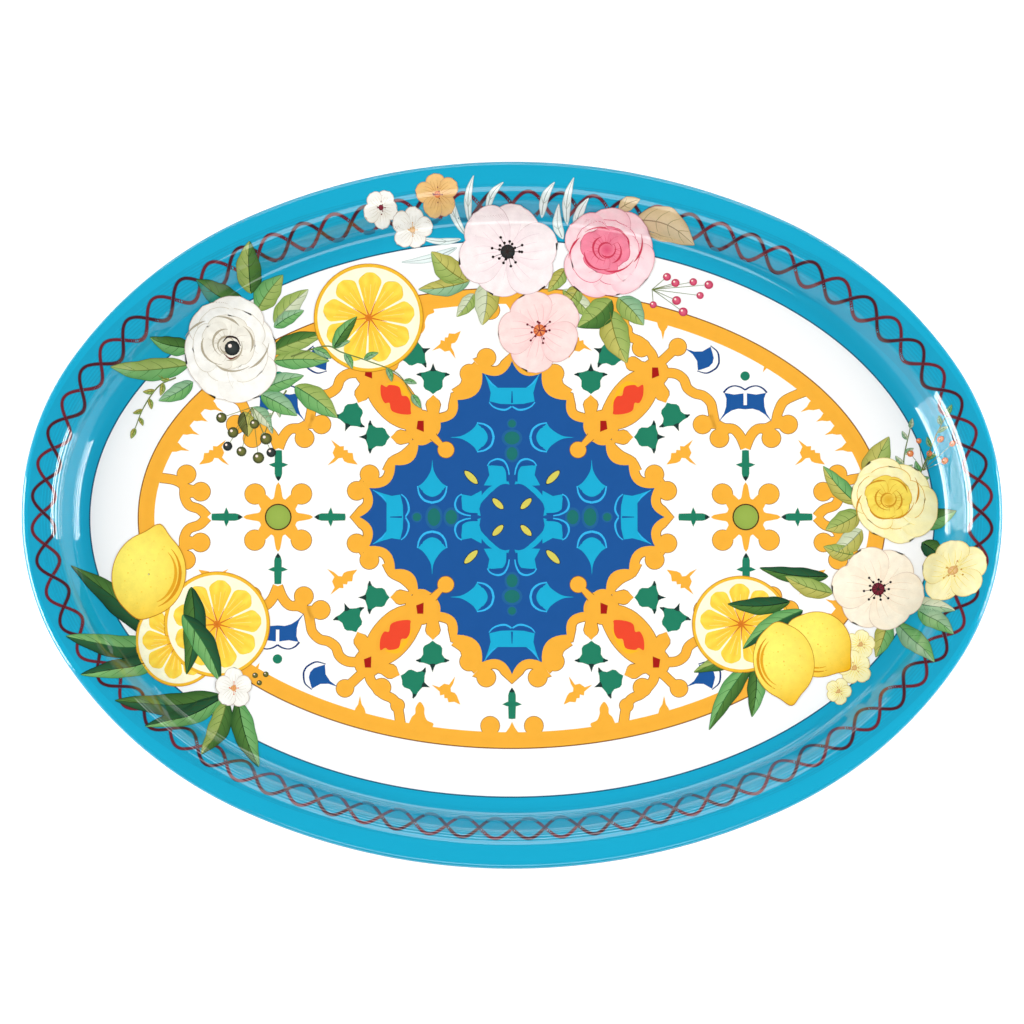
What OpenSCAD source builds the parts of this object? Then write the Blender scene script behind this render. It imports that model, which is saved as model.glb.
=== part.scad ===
// Oval serving tray: a pressed sheet-steel pan with a wired, rolled edge, enamelled and printed.
// Frame: origin on the underside at the centre, +X along the length, +Z up. Millimetres.

/* [Overall size] */
// Length over the rolled edge, coat included
tray_l = 457; // [360:1:560]
// Width over the rolled edge, coat included
tray_w = 332; // [270:1:400]
// Height from the underside to the top of the rolled edge
tray_h = 20; // [16:0.5:30]

/* [Pressed section] */
// Thickness of the steel sheet
sheet_t = 0.5; // [0.4:0.05:0.7]
// Diameter of the rolled edge, bare metal
curl_d = 4.2; // [3.4:0.1:5.2]
// How far the sheet wraps round the wire, in degrees
curl_wrap = 262; // [220:2:270]
// Length of the flat flange behind the rolled edge
flange_l = 5.2; // [3:0.2:9]
// Fall of the flange towards the well, in degrees
flange_fall = 4; // [0:0.5:8]
// Radius of the shoulder where the flange turns down
shoulder_r = 13; // [9:0.5:15]
// Slope of the side wall, in degrees from level
wall_slope = 62; // [50:1:70]
// Radius of the cove where the wall meets the floor
cove_r = 8; // [5:0.5:9.5]
// Clearance between the wire and the curl
wire_gap = 0.08; // [0.05:0.01:0.2]

/* [Coats and inks] */
// Thickness of one coat or one printed layer
coat_t = 0.2; // [0.15:0.01:0.25]
// How far the rim colour wraps down the outside of the curl, in degrees
coat_wrap = 105; // [60:5:140]
// Gap left round the chain's strands, which cross curved metal and each other
chain_gap = 0.05; // [0.03:0.01:0.07]

/* [Printed border] */
// How far the white field's edge stands in from the edge of the flat floor, at the ends
field_in_ends = 0.9; // [0.8:0.1:8]
// The same at the sides
field_in_sides = 4.9; // [0.8:0.1:10]
// Width of the dark line round the white field
keyline_w = 0.6; // [0.4:0.1:0.7]
// How far the chain's middle line stands in from the tray's edge, at the ends
chain_in_ends = 10; // [10:0.5:14]
// The same at the sides
chain_in_sides = 19; // [12:0.5:20]
// Number of links round the chain
chain_links = 76; // [40:2:90]
// Height of a link across the chain
link_h = 11.4; // [7:0.2:12]
// Width of the chain's line
chain_line = 1.6; // [1:0.1:2.4]

/* [Medallion] */
// How far the gold ring stands in from the tray's edge, at the ends
ring_in_ends = 53.5; // [45:0.5:70]
// The same at the sides
ring_in_sides = 57.5; // [45:0.5:70]
// Width of the gold ring's band
ring_band = 7.5; // [4:0.5:9]
// Size of the printed lattice against the largest that fits the ring
lattice_share = 1; // [0.8:0.05:1]
// Width of the gold line round the star
star_border = 4.4; // [2.5:0.1:5.5]

/* [Hidden] */
$fn = 48;

// Eight arcs of three radii make the plan: every line of the section is a parallel offset of it.
// Radii and centres are kept to a thousandth, so that neighbouring arcs meet edge to edge.
function to_thousandth(v) = round(v * 1000) / 1000;
function to_grid(p) = [to_thousandth(p[0]), to_thousandth(p[1])];
half_l = tray_l / 2;
half_w = tray_w / 2;
end_share = 1.046;
turn_a = 27;
turn_b = 58;
ang_a = atan2(half_l * sin(turn_a), half_w * cos(turn_a));
ang_b = atan2(half_l * sin(turn_b), half_w * cos(turn_b));
end_r = to_thousandth(end_share * half_w * half_w / half_l);
// The two other radii close the oval: two equations, solved by Cramer's rule.
eq_a = [cos(ang_b) - cos(ang_a), -cos(ang_b), -(half_l - end_r) - end_r * cos(ang_a)];
eq_b = [sin(ang_b) - sin(ang_a), 1 - sin(ang_b), half_w - end_r * sin(ang_a)];
eq_det = eq_a[0] * eq_b[1] - eq_a[1] * eq_b[0];
corner_r = to_thousandth((eq_a[2] * eq_b[1] - eq_a[1] * eq_b[2]) / eq_det);
side_r = to_thousandth((eq_a[0] * eq_b[2] - eq_a[2] * eq_b[0]) / eq_det);
end_c = to_grid([half_l - end_r, 0]);
corner_c = to_grid(end_c + (end_r - corner_r) * [cos(ang_a), sin(ang_a)]);
side_c = to_grid([0, half_w - side_r]);
// Far points on the two lines where the arcs change over
joint_a = to_grid(end_c + 2 * tray_l * [cos(ang_a), sin(ang_a)]);
joint_b = to_grid(corner_c + 2 * tray_l * [cos(ang_b), sin(ang_b)]);
arc_over = 4;

// Section across the rim: x is the distance in from the edge, y is the height.
curl_r = curl_d / 2;
wire_r = curl_r - sheet_t - wire_gap;
curl_c = [curl_r + coat_t, tray_h - curl_r - coat_t];
function unit(tilt) = [sin(tilt), cos(tilt)];
function along(tilt) = [cos(tilt), -sin(tilt)];
flange_end = curl_c + curl_r * unit(flange_fall) + flange_l * along(flange_fall);
shoulder_c = flange_end - shoulder_r * unit(flange_fall);
wall_top = shoulder_c + shoulder_r * unit(wall_slope);
wall_l = (wall_top[1] - sheet_t - cove_r * (1 - cos(wall_slope))) / sin(wall_slope);
cove_c = wall_top + wall_l * along(wall_slope) + cove_r * unit(wall_slope);
floor_in = cove_c[0];
plate_in = floor_in + 30;
arc_step = 10;
far = tray_l;

// Ovals of the print, full length and width
field_l = tray_l - 2 * (floor_in + field_in_ends);
field_w = tray_w - 2 * (floor_in + field_in_sides);
chain_l = tray_l - 2 * chain_in_ends;
chain_w = tray_w - 2 * chain_in_sides;
ring_l = tray_l - 2 * ring_in_ends;
ring_w = tray_w - 2 * ring_in_sides;
// The artwork is drawn for one tray and ring: sprays keep their place by the edge, the lattice its fit
art_l = 457;
art_w = 332;
art_ring_l = 350;
art_ring_w = 217;
spray_shift = [(tray_l - art_l) / 2, (tray_w - art_w) / 2];
lattice_scale = lattice_share * min(ring_l / art_ring_l, ring_w / art_ring_w);

// Points of the section at a height above the sheet's upper face, from the curl to the floor
function steps(from, to) = max(1, ceil(abs(to - from) / arc_step));
function bend(c, r, from, to) = [for (i = [0:steps(from, to)])
    c + r * unit(from + (to - from) * i / steps(from, to))];
function section_line(up, wrap, inner) = concat(
    bend(curl_c, curl_r + up, -wrap, flange_fall),
    bend(shoulder_c, shoulder_r + up, flange_fall, wall_slope),
    bend(cove_c, up - cove_r, wall_slope, 0),
    [[inner, sheet_t + up]]);
function reversed(list) = [for (i = [len(list) - 1:-1:0]) list[i]];
function layer_section(low, high, wrap, inner) =
    concat(section_line(low, wrap, inner), reversed(section_line(high, wrap, inner)));

// Height of the sheet's upper face at a distance in from the edge
function section_z(d) =
    d < flange_end[0] ? flange_end[1] + (flange_end[0] - d) * tan(flange_fall) :
    d < wall_top[0] ? shoulder_c[1] + sqrt(pow(shoulder_r, 2) - pow(d - shoulder_c[0], 2)) :
    d < cove_c[0] - cove_r * sin(wall_slope) ? wall_top[1] - (d - wall_top[0]) * tan(wall_slope) :
    d < floor_in ? cove_c[1] - sqrt(pow(cove_r, 2) - pow(d - cove_c[0], 2)) : sheet_t;
// Tilt of the sheet there
function section_tilt(d) =
    d < flange_end[0] ? flange_fall :
    d < wall_top[0] ? asin((d - shoulder_c[0]) / shoulder_r) :
    d < cove_c[0] - cove_r * sin(wall_slope) ? wall_slope :
    d < floor_in ? asin((cove_c[0] - d) / cove_r) : 0;
// Which arc a point belongs to, as [centre, radius], in the first quarter
function arc_at(p) =
    atan2(p[1] - end_c[1], p[0] - end_c[0]) < ang_a ? [end_c, end_r] :
    atan2(p[1] - corner_c[1], p[0] - corner_c[0]) < ang_b ? [corner_c, corner_r] :
    [side_c, side_r];
function quarter(p) = [abs(p[0]), abs(p[1])];
function signs(p) = [p[0] < 0 ? -1 : 1, p[1] < 0 ? -1 : 1];
// A point of the plan, raised on to the metal and out along its normal
function on_metal(p, up) =
    let (q = quarter(p), s = signs(p), arc = arc_at(q), v = q - arc[0], n = v / norm(v))
    let (d = arc[1] - norm(v), tilt = section_tilt(d), w = -up * sin(tilt))
    [p[0] + s[0] * n[0] * w, p[1] + s[1] * n[1] * w, section_z(d) + up * cos(tilt)];

// Sweeps a section, drawn as its distance in from the edge, round one arc and a little over
module sweep_arc(centre, radius, from, to) {
    translate(centre)
        rotate([0, 0, from - arc_over])
            rotate_extrude(angle = to - from + 2 * arc_over, $fn = 96)
                translate([radius, 0])
                    mirror([1, 0])
                        children();
}
// Cuts an arc off at the lines where its neighbours begin
module trim(outline) {
    intersection() {
        children();
        translate([0, 0, -tray_h])
            linear_extrude(3 * tray_h)
                polygon(outline);
    }
}
module end_arc() {
    trim([end_c, [joint_a[0], -joint_a[1]], joint_a])
        sweep_arc(end_c, end_r, -ang_a, ang_a)
            children();
}
module corner_arc() {
    trim([end_c, joint_a, joint_a + joint_b, joint_b, corner_c])
        sweep_arc(corner_c, corner_r, ang_a, ang_b)
            children();
}
module side_arc() {
    trim([corner_c, joint_b, [-joint_b[0], joint_b[1]], [-corner_c[0], corner_c[1]]])
        sweep_arc(side_c, side_r, ang_b, 180 - ang_b)
            children();
}
module oval_sweep() {
    for (mx = [0, 1])
        mirror([mx, 0, 0]) {
            end_arc() children();
            corner_arc() children();
            mirror([0, 1, 0]) corner_arc() children();
        }
    for (my = [0, 1])
        mirror([0, my, 0])
            side_arc() children();
}
// Flat plate inside the swept part, whose edge lies within it
module inner_plate(low, high) {
    lap = (floor_in + plate_in) / 2;
    translate([0, 0, low])
        linear_extrude(high - low)
            oval_2d(tray_l - 2 * lap, tray_w - 2 * lap);
}
// One even layer over the whole inside of the tray
module layer(low, high, wrap) {
    union() {
        oval_sweep()
            polygon(layer_section(low, high, wrap, plate_in));
        inner_plate(sheet_t + low, sheet_t + high);
    }
}

// Flat shapes
module oval_2d(l, w, n = 144) {
    polygon([for (i = [0:n - 1]) [l / 2 * cos(360 * i / n), w / 2 * sin(360 * i / n)]]);
}
// A straight stroke with round ends
module stroke_2d(p, q, w) {
    turn = atan2(q[1] - p[1], q[0] - p[0]);
    polygon([for (k = [0:9])
        (k < 5 ? p : q) + w / 2 * [cos(turn + 90 + 40 * k + (k < 5 ? 0 : -20)),
                                   sin(turn + 90 + 40 * k + (k < 5 ? 0 : -20))]]);
}
module four_ways() {
    for (mx = [0, 1], my = [0, 1])
        mirror([mx, 0])
            mirror([0, my])
                children();
}
// A round spot
module spot_2d(r, n = 36) {
    oval_2d(2 * r, 2 * r, n);
}
// A pointed leaf between two arcs
module leaf_2d(x, y, l, w, turn) {
    translate([x, y])
        rotate(turn)
            polygon(concat(sag_arc([-l / 2, 0], [l / 2, 0], -w / 2, 8),
                sag_arc([l / 2, 0], [-l / 2, 0], -w / 2, 8)));
}
// An open blossom with a lobe for each petal
module blossom_2d(x, y, r, petals = 5, turn = 90) {
    notch = 0.2;
    n = petals * 10;
    translate([x, y])
        rotate(turn)
            polygon([for (i = [0:n - 1])
                let (t = 360 * i / n, lobe = abs(cos(petals * t / 2)))
                r * (1 - notch * pow(1 - lobe, 2)) * [cos(t), sin(t)]]);
}
// A whole lemon: an oval drawn out into a small nipple
module lemon_2d(x, y, l, w, turn) {
    translate([x, y])
        rotate(turn)
            polygon([for (i = [0:47])
                let (t = 7.5 * i, tip = pow(max(0, cos(t)), 24))
                [l / 2 * cos(t) * (1 + 0.12 * tip), w / 2 * sin(t)]]);
}
// An arc from p to q whose middle stands off the line by a sag, to its left
function sag_arc(p, q, sag, n = 5) =
    let (c = norm(q - p) / 2, r = (c * c + sag * sag) / (2 * abs(sag)), half = asin(min(1, c / r)))
    let (mid = (p + q) / 2, u = (q - p) / norm(q - p), left = [-u[1], u[0]] * sign(sag))
    let (o = mid - left * (r - abs(sag)))
    [for (i = [0:n - 1]) let (t = -half + 2 * half * i / n) o + r * (u * sin(t) + left * cos(t))];

// Cusps of the star in one quarter, from the long axis round to the short one
star_cusps = [[71, 0], [66.5, 14], [54.8, 24.5], [44, 34], [34.5, 44], [25.3, 55.7], [14, 68.5], [0, 74]];
star_sag = 3.6;
function star_edge(grow) = [for (i = [0:len(star_cusps) - 2])
    each sag_arc(star_cusps[i] * (1 + grow), star_cusps[i + 1] * (1 + grow), star_sag)];
function star_outline(grow) = let (e = star_edge(grow), m = reversed(e)) concat(
    e, [[0, 74 * (1 + grow)]],
    [for (i = [0:len(m) - 2]) [-m[i][0], m[i][1]]], [[-71 * (1 + grow), 0]],
    [for (i = [1:len(e) - 1]) [-e[i][0], -e[i][1]]], [[0, -74 * (1 + grow)]],
    [for (i = [0:len(m) - 2]) [m[i][0], -m[i][1]]]);
module star_2d(grow = 0) {
    polygon(star_outline(grow));
}
// A tied curtain with a swag under it
module drapery_2d(w, h) {
    difference() {
        polygon(concat(sag_arc([-w / 2, h * 0.5], [w / 2, h * 0.5], -h * 0.18),
            sag_arc([w / 2, h * 0.5], [w * 0.38, -h * 0.3], -w * 0.08),
            sag_arc([w * 0.38, -h * 0.3], [-w * 0.38, -h * 0.3], -h * 0.2),
            sag_arc([-w * 0.38, -h * 0.3], [-w / 2, h * 0.5], -w * 0.08)));
        translate([-w * 0.02, -h * 0.28]) square([w * 0.04, h * 0.45]);
    }
}
// A drop with a drawn-out point
module drop_2d(w, h) {
    polygon(concat(sag_arc([0, h * 0.62], [-w / 2, -h * 0.1], -w * 0.12),
        sag_arc([-w / 2, -h * 0.1], [w / 2, -h * 0.1], h * 0.3, 9),
        sag_arc([w / 2, -h * 0.1], [0, h * 0.62], -w * 0.12)));
}
// A small bell flower
module floret_2d(s) {
    union() {
        spot_2d(s * 0.32, 24);
        translate([-s * 0.3, 0]) square([s * 0.6, s * 0.3]);
        leaf_2d(0, s * 0.34, s * 1.1, s * 0.3, 0);
        leaf_2d(0, s * 0.42, s * 0.6, s * 0.2, 90);
    }
}

// Places of the printed motifs in one quarter of the medallion
knot_at = [42, 41.5];
knot_r = 7.5;
// Head and shank of the pins that reach from the knots into the star
pin_at = [31, 32];
pin_r = 3.7;
pin_w = 3.4;
// Round lobes outside the star's border
lobes_at = [[12, 75.5], [20, 68], [66.8, 20.2], [72.8, 12.4]];
lobe_r = 4.4;
band_w = 4.5;
outer_knot_at = [67.5, 67.5];
rosette_at = [110.5, 0];
lozenge_at = [54.5, 55.5];
module gold_lattice_2d() {
    difference() {
        union() {
            difference() {
                union() {
                    star_2d(star_border / 60);
                    gold_bands_2d();
                }
                star_2d();
            }
            gold_pins_2d();
        }
        four_ways() {
            translate(lozenge_at) rotate(50) square([9, 5], center = true);
            translate(knot_at) spot_2d(1.9, 4);
            translate(outer_knot_at) spot_2d(1.9, 4);
        }
    }
}
// Knots, almonds and bands from the star out to the ring
module gold_bands_2d() {
    four_ways() {
        stroke_2d(knot_at, [42, 54], 5.5);
        stroke_2d(knot_at, [55, 41.5], 5.5);
        translate(outer_knot_at) spot_2d(7);
        stroke_2d(outer_knot_at, [67.5, 55], 5);
        stroke_2d(outer_knot_at, [55, 67.5], 5);
        stroke_2d([43, 47], [58, 66], 3.2);
        stroke_2d([48, 43], [66, 58], 3.2);
        stroke_2d(outer_knot_at, [78, 84], band_w);
        stroke_2d(outer_knot_at, [92, 60], band_w);
        translate([92, 60]) spot_2d(5.5);
        stroke_2d([92, 60], [106, 47], band_w);
        translate([106, 47]) spot_2d(5.5);
        stroke_2d([106, 47], [122, 52], band_w);
        stroke_2d([122, 52], [136, 42], band_w);
        stroke_2d([136, 42], [142, 24], band_w);
        stroke_2d([142, 24], [156, 12], band_w);
        for (lobe = lobes_at)
            translate(lobe) spot_2d(lobe_r);
    }
}
module rosettes_2d() {
    for (side = [-1, 1])
        translate(rosette_at * side)
            difference() {
                union() {
                    spot_2d(9);
                    for (i = [0:3])
                        rotate(90 * i)
                            translate([12.5, 0])
                                spot_2d(3.2);
                    for (i = [0:3])
                        rotate(45 + 90 * i)
                            translate([13, 0])
                                spot_2d(3.9);
                }
                spot_2d(5.6);
            }
}
module rosette_eyes_2d() {
    for (side = [-1, 1])
        translate(rosette_at * side)
            spot_2d(5);
}
module star_drapery_2d() {
    for (side = [0, 1])
        rotate(180 * side) {
            translate([0, 54]) drapery_2d(24, 12);
            translate([56, 0]) rotate(-90) drapery_2d(22, 11);
        }
    four_ways() {
        translate([14, 36]) rotate(80) drop_2d(9, 15);
        translate([39, 14]) drop_2d(9, 15);
        translate([8, 17]) square(7, center = true);
        translate([19, 8]) square(7, center = true);
    }
}
module leaf_seeds_2d() {
    four_ways() {
        leaf_2d(5.6, 6, 6.5, 2.4, 45);
        leaf_2d(19.5, 19, 6.5, 2.4, 45);
    }
}
// The part of the lattice that reaches into the star
module gold_pins_2d() {
    four_ways() {
        translate(knot_at) spot_2d(knot_r);
        stroke_2d(knot_at, pin_at, pin_w);
        translate(pin_at) spot_2d(pin_r);
    }
}
module star_dots_2d() {
    for (side = [0, 1])
        rotate(180 * side) {
            for (x = [27, 33, 39]) translate([x, 0]) spot_2d(2);
            for (y = [29, 36]) translate([0, y]) spot_2d(2.6);
        }
}
module outer_florets_2d() {
    for (side = [-1, 1], dx = [-25, 25])
        translate([rosette_at[0] * side + dx, 0]) {
            leaf_2d(0, 0, 10, 2.6, 0);
            leaf_2d(0, 0, 10, 2.6, 90);
        }
    for (side = [-1, 1], dy = [-25, 25])
        translate([rosette_at[0] * side, dy])
            leaf_2d(0, 0, 10, 3, 90);
    four_ways() {
        translate([43, 61]) floret_2d(9);
        translate([63, 42]) rotate(-90) floret_2d(9);
        translate([51, 71]) rotate(90) floret_2d(9);
        translate([74, 51]) rotate(180) floret_2d(9);
    }
}
module lozenges_2d() {
    four_ways() {
        translate(lozenge_at) rotate(50) square([8.4, 4.4], center = true);
        translate(knot_at) spot_2d(1.6, 4);
        translate(outer_knot_at) spot_2d(1.6, 4);
    }
}
module blue_drapery_2d() {
    four_ways() {
        translate([112, 56]) drapery_2d(20, 11);
        translate([94, 74]) rotate(60) drop_2d(7, 12);
    }
}

// Sprays: blossoms, fruit and leaves, each a patch of print with one outline
module rose_spray_2d() {
    translate([0, spray_shift[1]])
        union() {
            blossom_2d(-2, 126, 23, 6, 80);
            blossom_2d(46, 126, 22, 6, 60);
            blossom_2d(13, 89, 19, 5, 70);
            blossom_2d(-61.5, 144, 7.5);
            blossom_2d(-35, 150, 9);
            blossom_2d(-47, 136, 8.5);
            leaf_2d(-30, 118, 24, 14, 115);
            leaf_2d(-14, 104, 26, 12, 60);
            leaf_2d(38, 98, 26, 13, 110);
            leaf_2d(52, 88, 22, 12, 100);
            leaf_2d(72, 133, 36, 11, -12);
            leaf_2d(-24, 140, 34, 5, 130);
            leaf_2d(-14, 110, 44, 7, 155);
        }
}
module white_rose_spray_2d() {
    translate([-spray_shift[0], spray_shift[1]])
        union() {
            blossom_2d(-133, 77, 24, 6, 30);
            translate([-67, 94]) spot_2d(25.5);
            leaf_2d(-122, 118, 20, 11, 70);
            leaf_2d(-138, 106, 24, 13, 20);
            leaf_2d(-174, 68, 30, 12, 0);
            leaf_2d(-106, 94, 28, 11, 35);
            leaf_2d(-104, 62, 24, 10, 10);
            leaf_2d(-92, 56, 26, 11, -40);
            leaf_2d(-120, 44, 22, 10, -70);
            leaf_2d(-62, 80, 40, 12, -30);
        }
}
module lemon_spray_2d() {
    translate(-spray_shift)
        union() {
            lemon_2d(-170, -27, 48, 36, 68);
            translate([-137, -51]) spot_2d(23.5);
            leaf_2d(-188, -40, 36, 14, -50);
            leaf_2d(-184, -64, 38, 13, -15);
            leaf_2d(-151, -62, 40, 14, 80);
            leaf_2d(-164, -90, 40, 14, -15);
            leaf_2d(-138, -102, 28, 10, 50);
            leaf_2d(-120, -94, 38, 11, -75);
            blossom_2d(-130, -81, 9);
        }
}
module yellow_bouquet_2d() {
    translate([spray_shift[0], -spray_shift[1]])
        union() {
            blossom_2d(179, 8, 20, 6, 20);
            blossom_2d(171, -34, 20, 5, 60);
            blossom_2d(205, -26, 14, 5, 20);
            leaf_2d(172, 27, 26, 13, 75);
            leaf_2d(156, 4, 26, 10, 140);
            leaf_2d(196, -8, 34, 16, 120);
            leaf_2d(186, -56, 34, 13, -30);
            translate([107, -51]) spot_2d(22);
            lemon_2d(127, -70, 40, 31, -80);
            lemon_2d(146, -60, 40, 30, -60);
            leaf_2d(134, -30, 38, 11, -25);
            leaf_2d(112, -40, 36, 11, -35);
            leaf_2d(97, -76, 34, 10, 60);
            leaf_2d(114, -82, 26, 9, 80);
            blossom_2d(160, -72, 10);
        }
}
module all_sprays_2d() {
    union() {
        rose_spray_2d();
        white_rose_spray_2d();
        lemon_spray_2d();
        yellow_bouquet_2d();
    }
}
// A print on the floor, knocked out where a spray is printed
module floor_print() {
    translate([0, 0, sheet_t + coat_t])
        linear_extrude(coat_t)
            difference() {
                children();
                all_sprays_2d();
            }
}
// A spray, laid over floor, wall and flange as one patch
module spray_print() {
    intersection() {
        layer(coat_t, 2 * coat_t, -flange_fall + 0.5);
        linear_extrude(far) children();
    }
}

// The chain stops where a spray crosses it: each box is [lowest corner, highest corner, spray side]
samples = 8;
chain_stops = [
    [[-74, 112], [94, 160], [0, 1]],
    [[-152, 98], [-110, 134], [-1, 1]],
    [[-198, 60], [-178, 82], [-1, 1]],
    [[-212, -120], [-126, -52], [-1, -1]],
    [[192, -74], [226, -6], [1, -1]]];
function within(p, box) = let (q = p - [box[2][0] * spray_shift[0], box[2][1] * spray_shift[1]])
    q[0] > box[0][0] && q[0] < box[1][0] && q[1] > box[0][1] && q[1] < box[1][1];
ring_count = chain_links / 2 * samples;
function chain_angle(i) = 360 * i / ring_count;
function chain_mid(i) = [chain_l / 2 * cos(chain_angle(i)), chain_w / 2 * sin(chain_angle(i))];
function printed(i) = len([for (box = chain_stops) if (within(chain_mid(i), box)) 1]) == 0;
function run_length(i, n = 0) = printed(i + n) && n < ring_count ? run_length(i, n + 1) : n;

// One strand of the chain: a ribbon that waves either side of its oval
function strand_point(i, phase) =
    let (t = chain_angle(i), n = [cos(t) * chain_w, sin(t) * chain_l])
    chain_mid(i) + n / norm(n) * link_h / 2 * sin(360 * i / samples + phase);
function strand_side(i, phase, off) =
    let (v = strand_point(i + 0.5, phase) - strand_point(i - 0.5, phase))
    strand_point(i, phase) + [v[1], -v[0]] / norm(v) * off;
module strand_run(first, count, phase, low, high) {
    sides = [[-1, low], [1, low], [1, high], [-1, high]];
    points = [for (i = [first:first + count - 1]) for (s = sides)
        on_metal(strand_side(i, phase, s[0] * chain_line / 2), s[1])];
    // Upper and lower faces are split along the same diagonal, so that they stay parallel
    walls = [for (i = [0:count - 2]) let (a = i * 4, b = a + 4) for (t = [
        [a, b, b + 1], [a, b + 1, a + 1], [a + 1, b + 1, b + 2], [a + 1, b + 2, a + 2],
        [a + 2, b + 2, a + 3], [b + 2, b + 3, a + 3], [a + 3, b + 3, b], [a + 3, b, a]]) t];
    last = (count - 1) * 4;
    polyhedron(points, concat(walls, [[0, 1, 2, 3]], [[last + 3, last + 2, last + 1, last]]));
}
module strand_print(phase, low, high) {
    for (i = [0:ring_count - 1])
        if (printed(i) && !printed(i - 1))
            strand_run(i, run_length(i), phase, low, high);
}

// Sub-parts
module pan() {
    color("lightsteelblue")
        union() {
            oval_sweep()
                polygon(layer_section(-sheet_t, 0, curl_wrap, plate_in));
            inner_plate(0, sheet_t);
        }
}
module rim_wire() {
    color("gray")
        oval_sweep()
            translate(curl_c)
                circle(wire_r, $fn = 12);
}
module rim_enamel() {
    color("deepskyblue")
        difference() {
            oval_sweep()
                polygon(layer_section(0, coat_t, coat_wrap, plate_in));
            linear_extrude(far)
                oval_2d(field_l + 2 * keyline_w, field_w + 2 * keyline_w);
        }
}
module field_enamel() {
    color("white")
        translate([0, 0, sheet_t])
            linear_extrude(coat_t)
                oval_2d(field_l, field_w);
}
module field_keyline() {
    color("midnightblue")
        translate([0, 0, sheet_t])
            linear_extrude(coat_t)
                difference() {
                    oval_2d(field_l + 2 * keyline_w, field_w + 2 * keyline_w);
                    oval_2d(field_l, field_w);
                }
}
module chain_strand_one() {
    color("maroon")
        strand_print(0, coat_t + chain_gap, 1.5 * coat_t + chain_gap);
}
module chain_strand_two() {
    color("brown")
        strand_print(180, 1.5 * coat_t + 2 * chain_gap, 2 * coat_t + 2 * chain_gap);
}
module medallion_ring() {
    color("orange")
        floor_print()
            difference() {
                oval_2d(ring_l, ring_w);
                oval_2d(ring_l - 2 * ring_band, ring_w - 2 * ring_band);
            }
}
module gold_lattice() {
    color("goldenrod")
        floor_print()
            scale(lattice_scale)
                gold_lattice_2d();
}
module rosettes() {
    color("orange")
        floor_print()
            scale(lattice_scale)
                rosettes_2d();
}
module rosette_eyes() {
    color("olive")
        floor_print()
            scale(lattice_scale)
                rosette_eyes_2d();
}
module star_ground() {
    color("royalblue")
        floor_print()
            scale(lattice_scale)
                difference() {
                    star_2d();
                    gold_pins_2d();
                    star_drapery_2d();
                    leaf_seeds_2d();
                    star_dots_2d();
                }
}
module star_drapery() {
    color("turquoise")
        floor_print()
            scale(lattice_scale)
                star_drapery_2d();
}
module leaf_seeds() {
    color("khaki")
        floor_print()
            scale(lattice_scale)
                leaf_seeds_2d();
}
module green_florets() {
    color("seagreen")
        floor_print()
            scale(lattice_scale)
                union() {
                    star_dots_2d();
                    outer_florets_2d();
                }
}
module red_lozenges() {
    color("orangered")
        floor_print()
            scale(lattice_scale)
                lozenges_2d();
}
module blue_drapery() {
    color("mediumblue")
        floor_print()
            scale(lattice_scale)
                blue_drapery_2d();
}
module rose_spray() {
    color("pink")
        spray_print()
            rose_spray_2d();
}
module white_rose_spray() {
    color("honeydew")
        spray_print()
            white_rose_spray_2d();
}
module lemon_spray() {
    color("gold")
        spray_print()
            lemon_spray_2d();
}
module yellow_bouquet() {
    color("lemonchiffon")
        spray_print()
            yellow_bouquet_2d();
}

pan();
rim_wire();
rim_enamel();
field_enamel();
field_keyline();
chain_strand_one();
chain_strand_two();
medallion_ring();
gold_lattice();
rosettes();
rosette_eyes();
star_ground();
star_drapery();
leaf_seeds();
green_florets();
red_lozenges();
blue_drapery();
rose_spray();
white_rose_spray();
lemon_spray();
yellow_bouquet();
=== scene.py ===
"""Oval serving tray: the visual model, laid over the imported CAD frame.

Drawing is done in millimetres in plan and draped on the pressed sheet's analytic surface.
"""

import logging
import math
from dataclasses import dataclass, field
from enum import Enum
from typing import Iterable, Sequence

import bpy
import numpy as np
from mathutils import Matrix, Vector


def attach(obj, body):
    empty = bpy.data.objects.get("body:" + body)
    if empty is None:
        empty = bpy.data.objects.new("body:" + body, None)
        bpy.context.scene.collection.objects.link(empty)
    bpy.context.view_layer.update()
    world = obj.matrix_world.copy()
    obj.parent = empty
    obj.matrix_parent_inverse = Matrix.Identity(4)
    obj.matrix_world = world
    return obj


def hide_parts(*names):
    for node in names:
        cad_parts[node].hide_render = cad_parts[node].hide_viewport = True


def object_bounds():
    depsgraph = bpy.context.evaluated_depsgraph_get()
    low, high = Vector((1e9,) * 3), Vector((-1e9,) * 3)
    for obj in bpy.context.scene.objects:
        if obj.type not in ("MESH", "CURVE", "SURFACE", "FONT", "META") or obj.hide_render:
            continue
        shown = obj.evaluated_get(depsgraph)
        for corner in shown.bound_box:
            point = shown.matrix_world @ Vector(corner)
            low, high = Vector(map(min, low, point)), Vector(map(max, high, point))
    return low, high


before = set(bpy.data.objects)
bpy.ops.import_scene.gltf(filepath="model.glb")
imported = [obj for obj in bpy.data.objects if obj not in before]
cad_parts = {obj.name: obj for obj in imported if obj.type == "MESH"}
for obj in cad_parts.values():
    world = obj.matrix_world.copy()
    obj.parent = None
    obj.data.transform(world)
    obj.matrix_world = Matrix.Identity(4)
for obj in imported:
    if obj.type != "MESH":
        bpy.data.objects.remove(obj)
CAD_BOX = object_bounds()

logging.basicConfig(level=logging.INFO, format="%(name)s: %(message)s")
log = logging.getLogger("tray")

MM = 0.001
BODY = "root"

Point = tuple[float, float]
Triple = tuple[float, float, float]


# ---------------------------------------------------------------- colours


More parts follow.
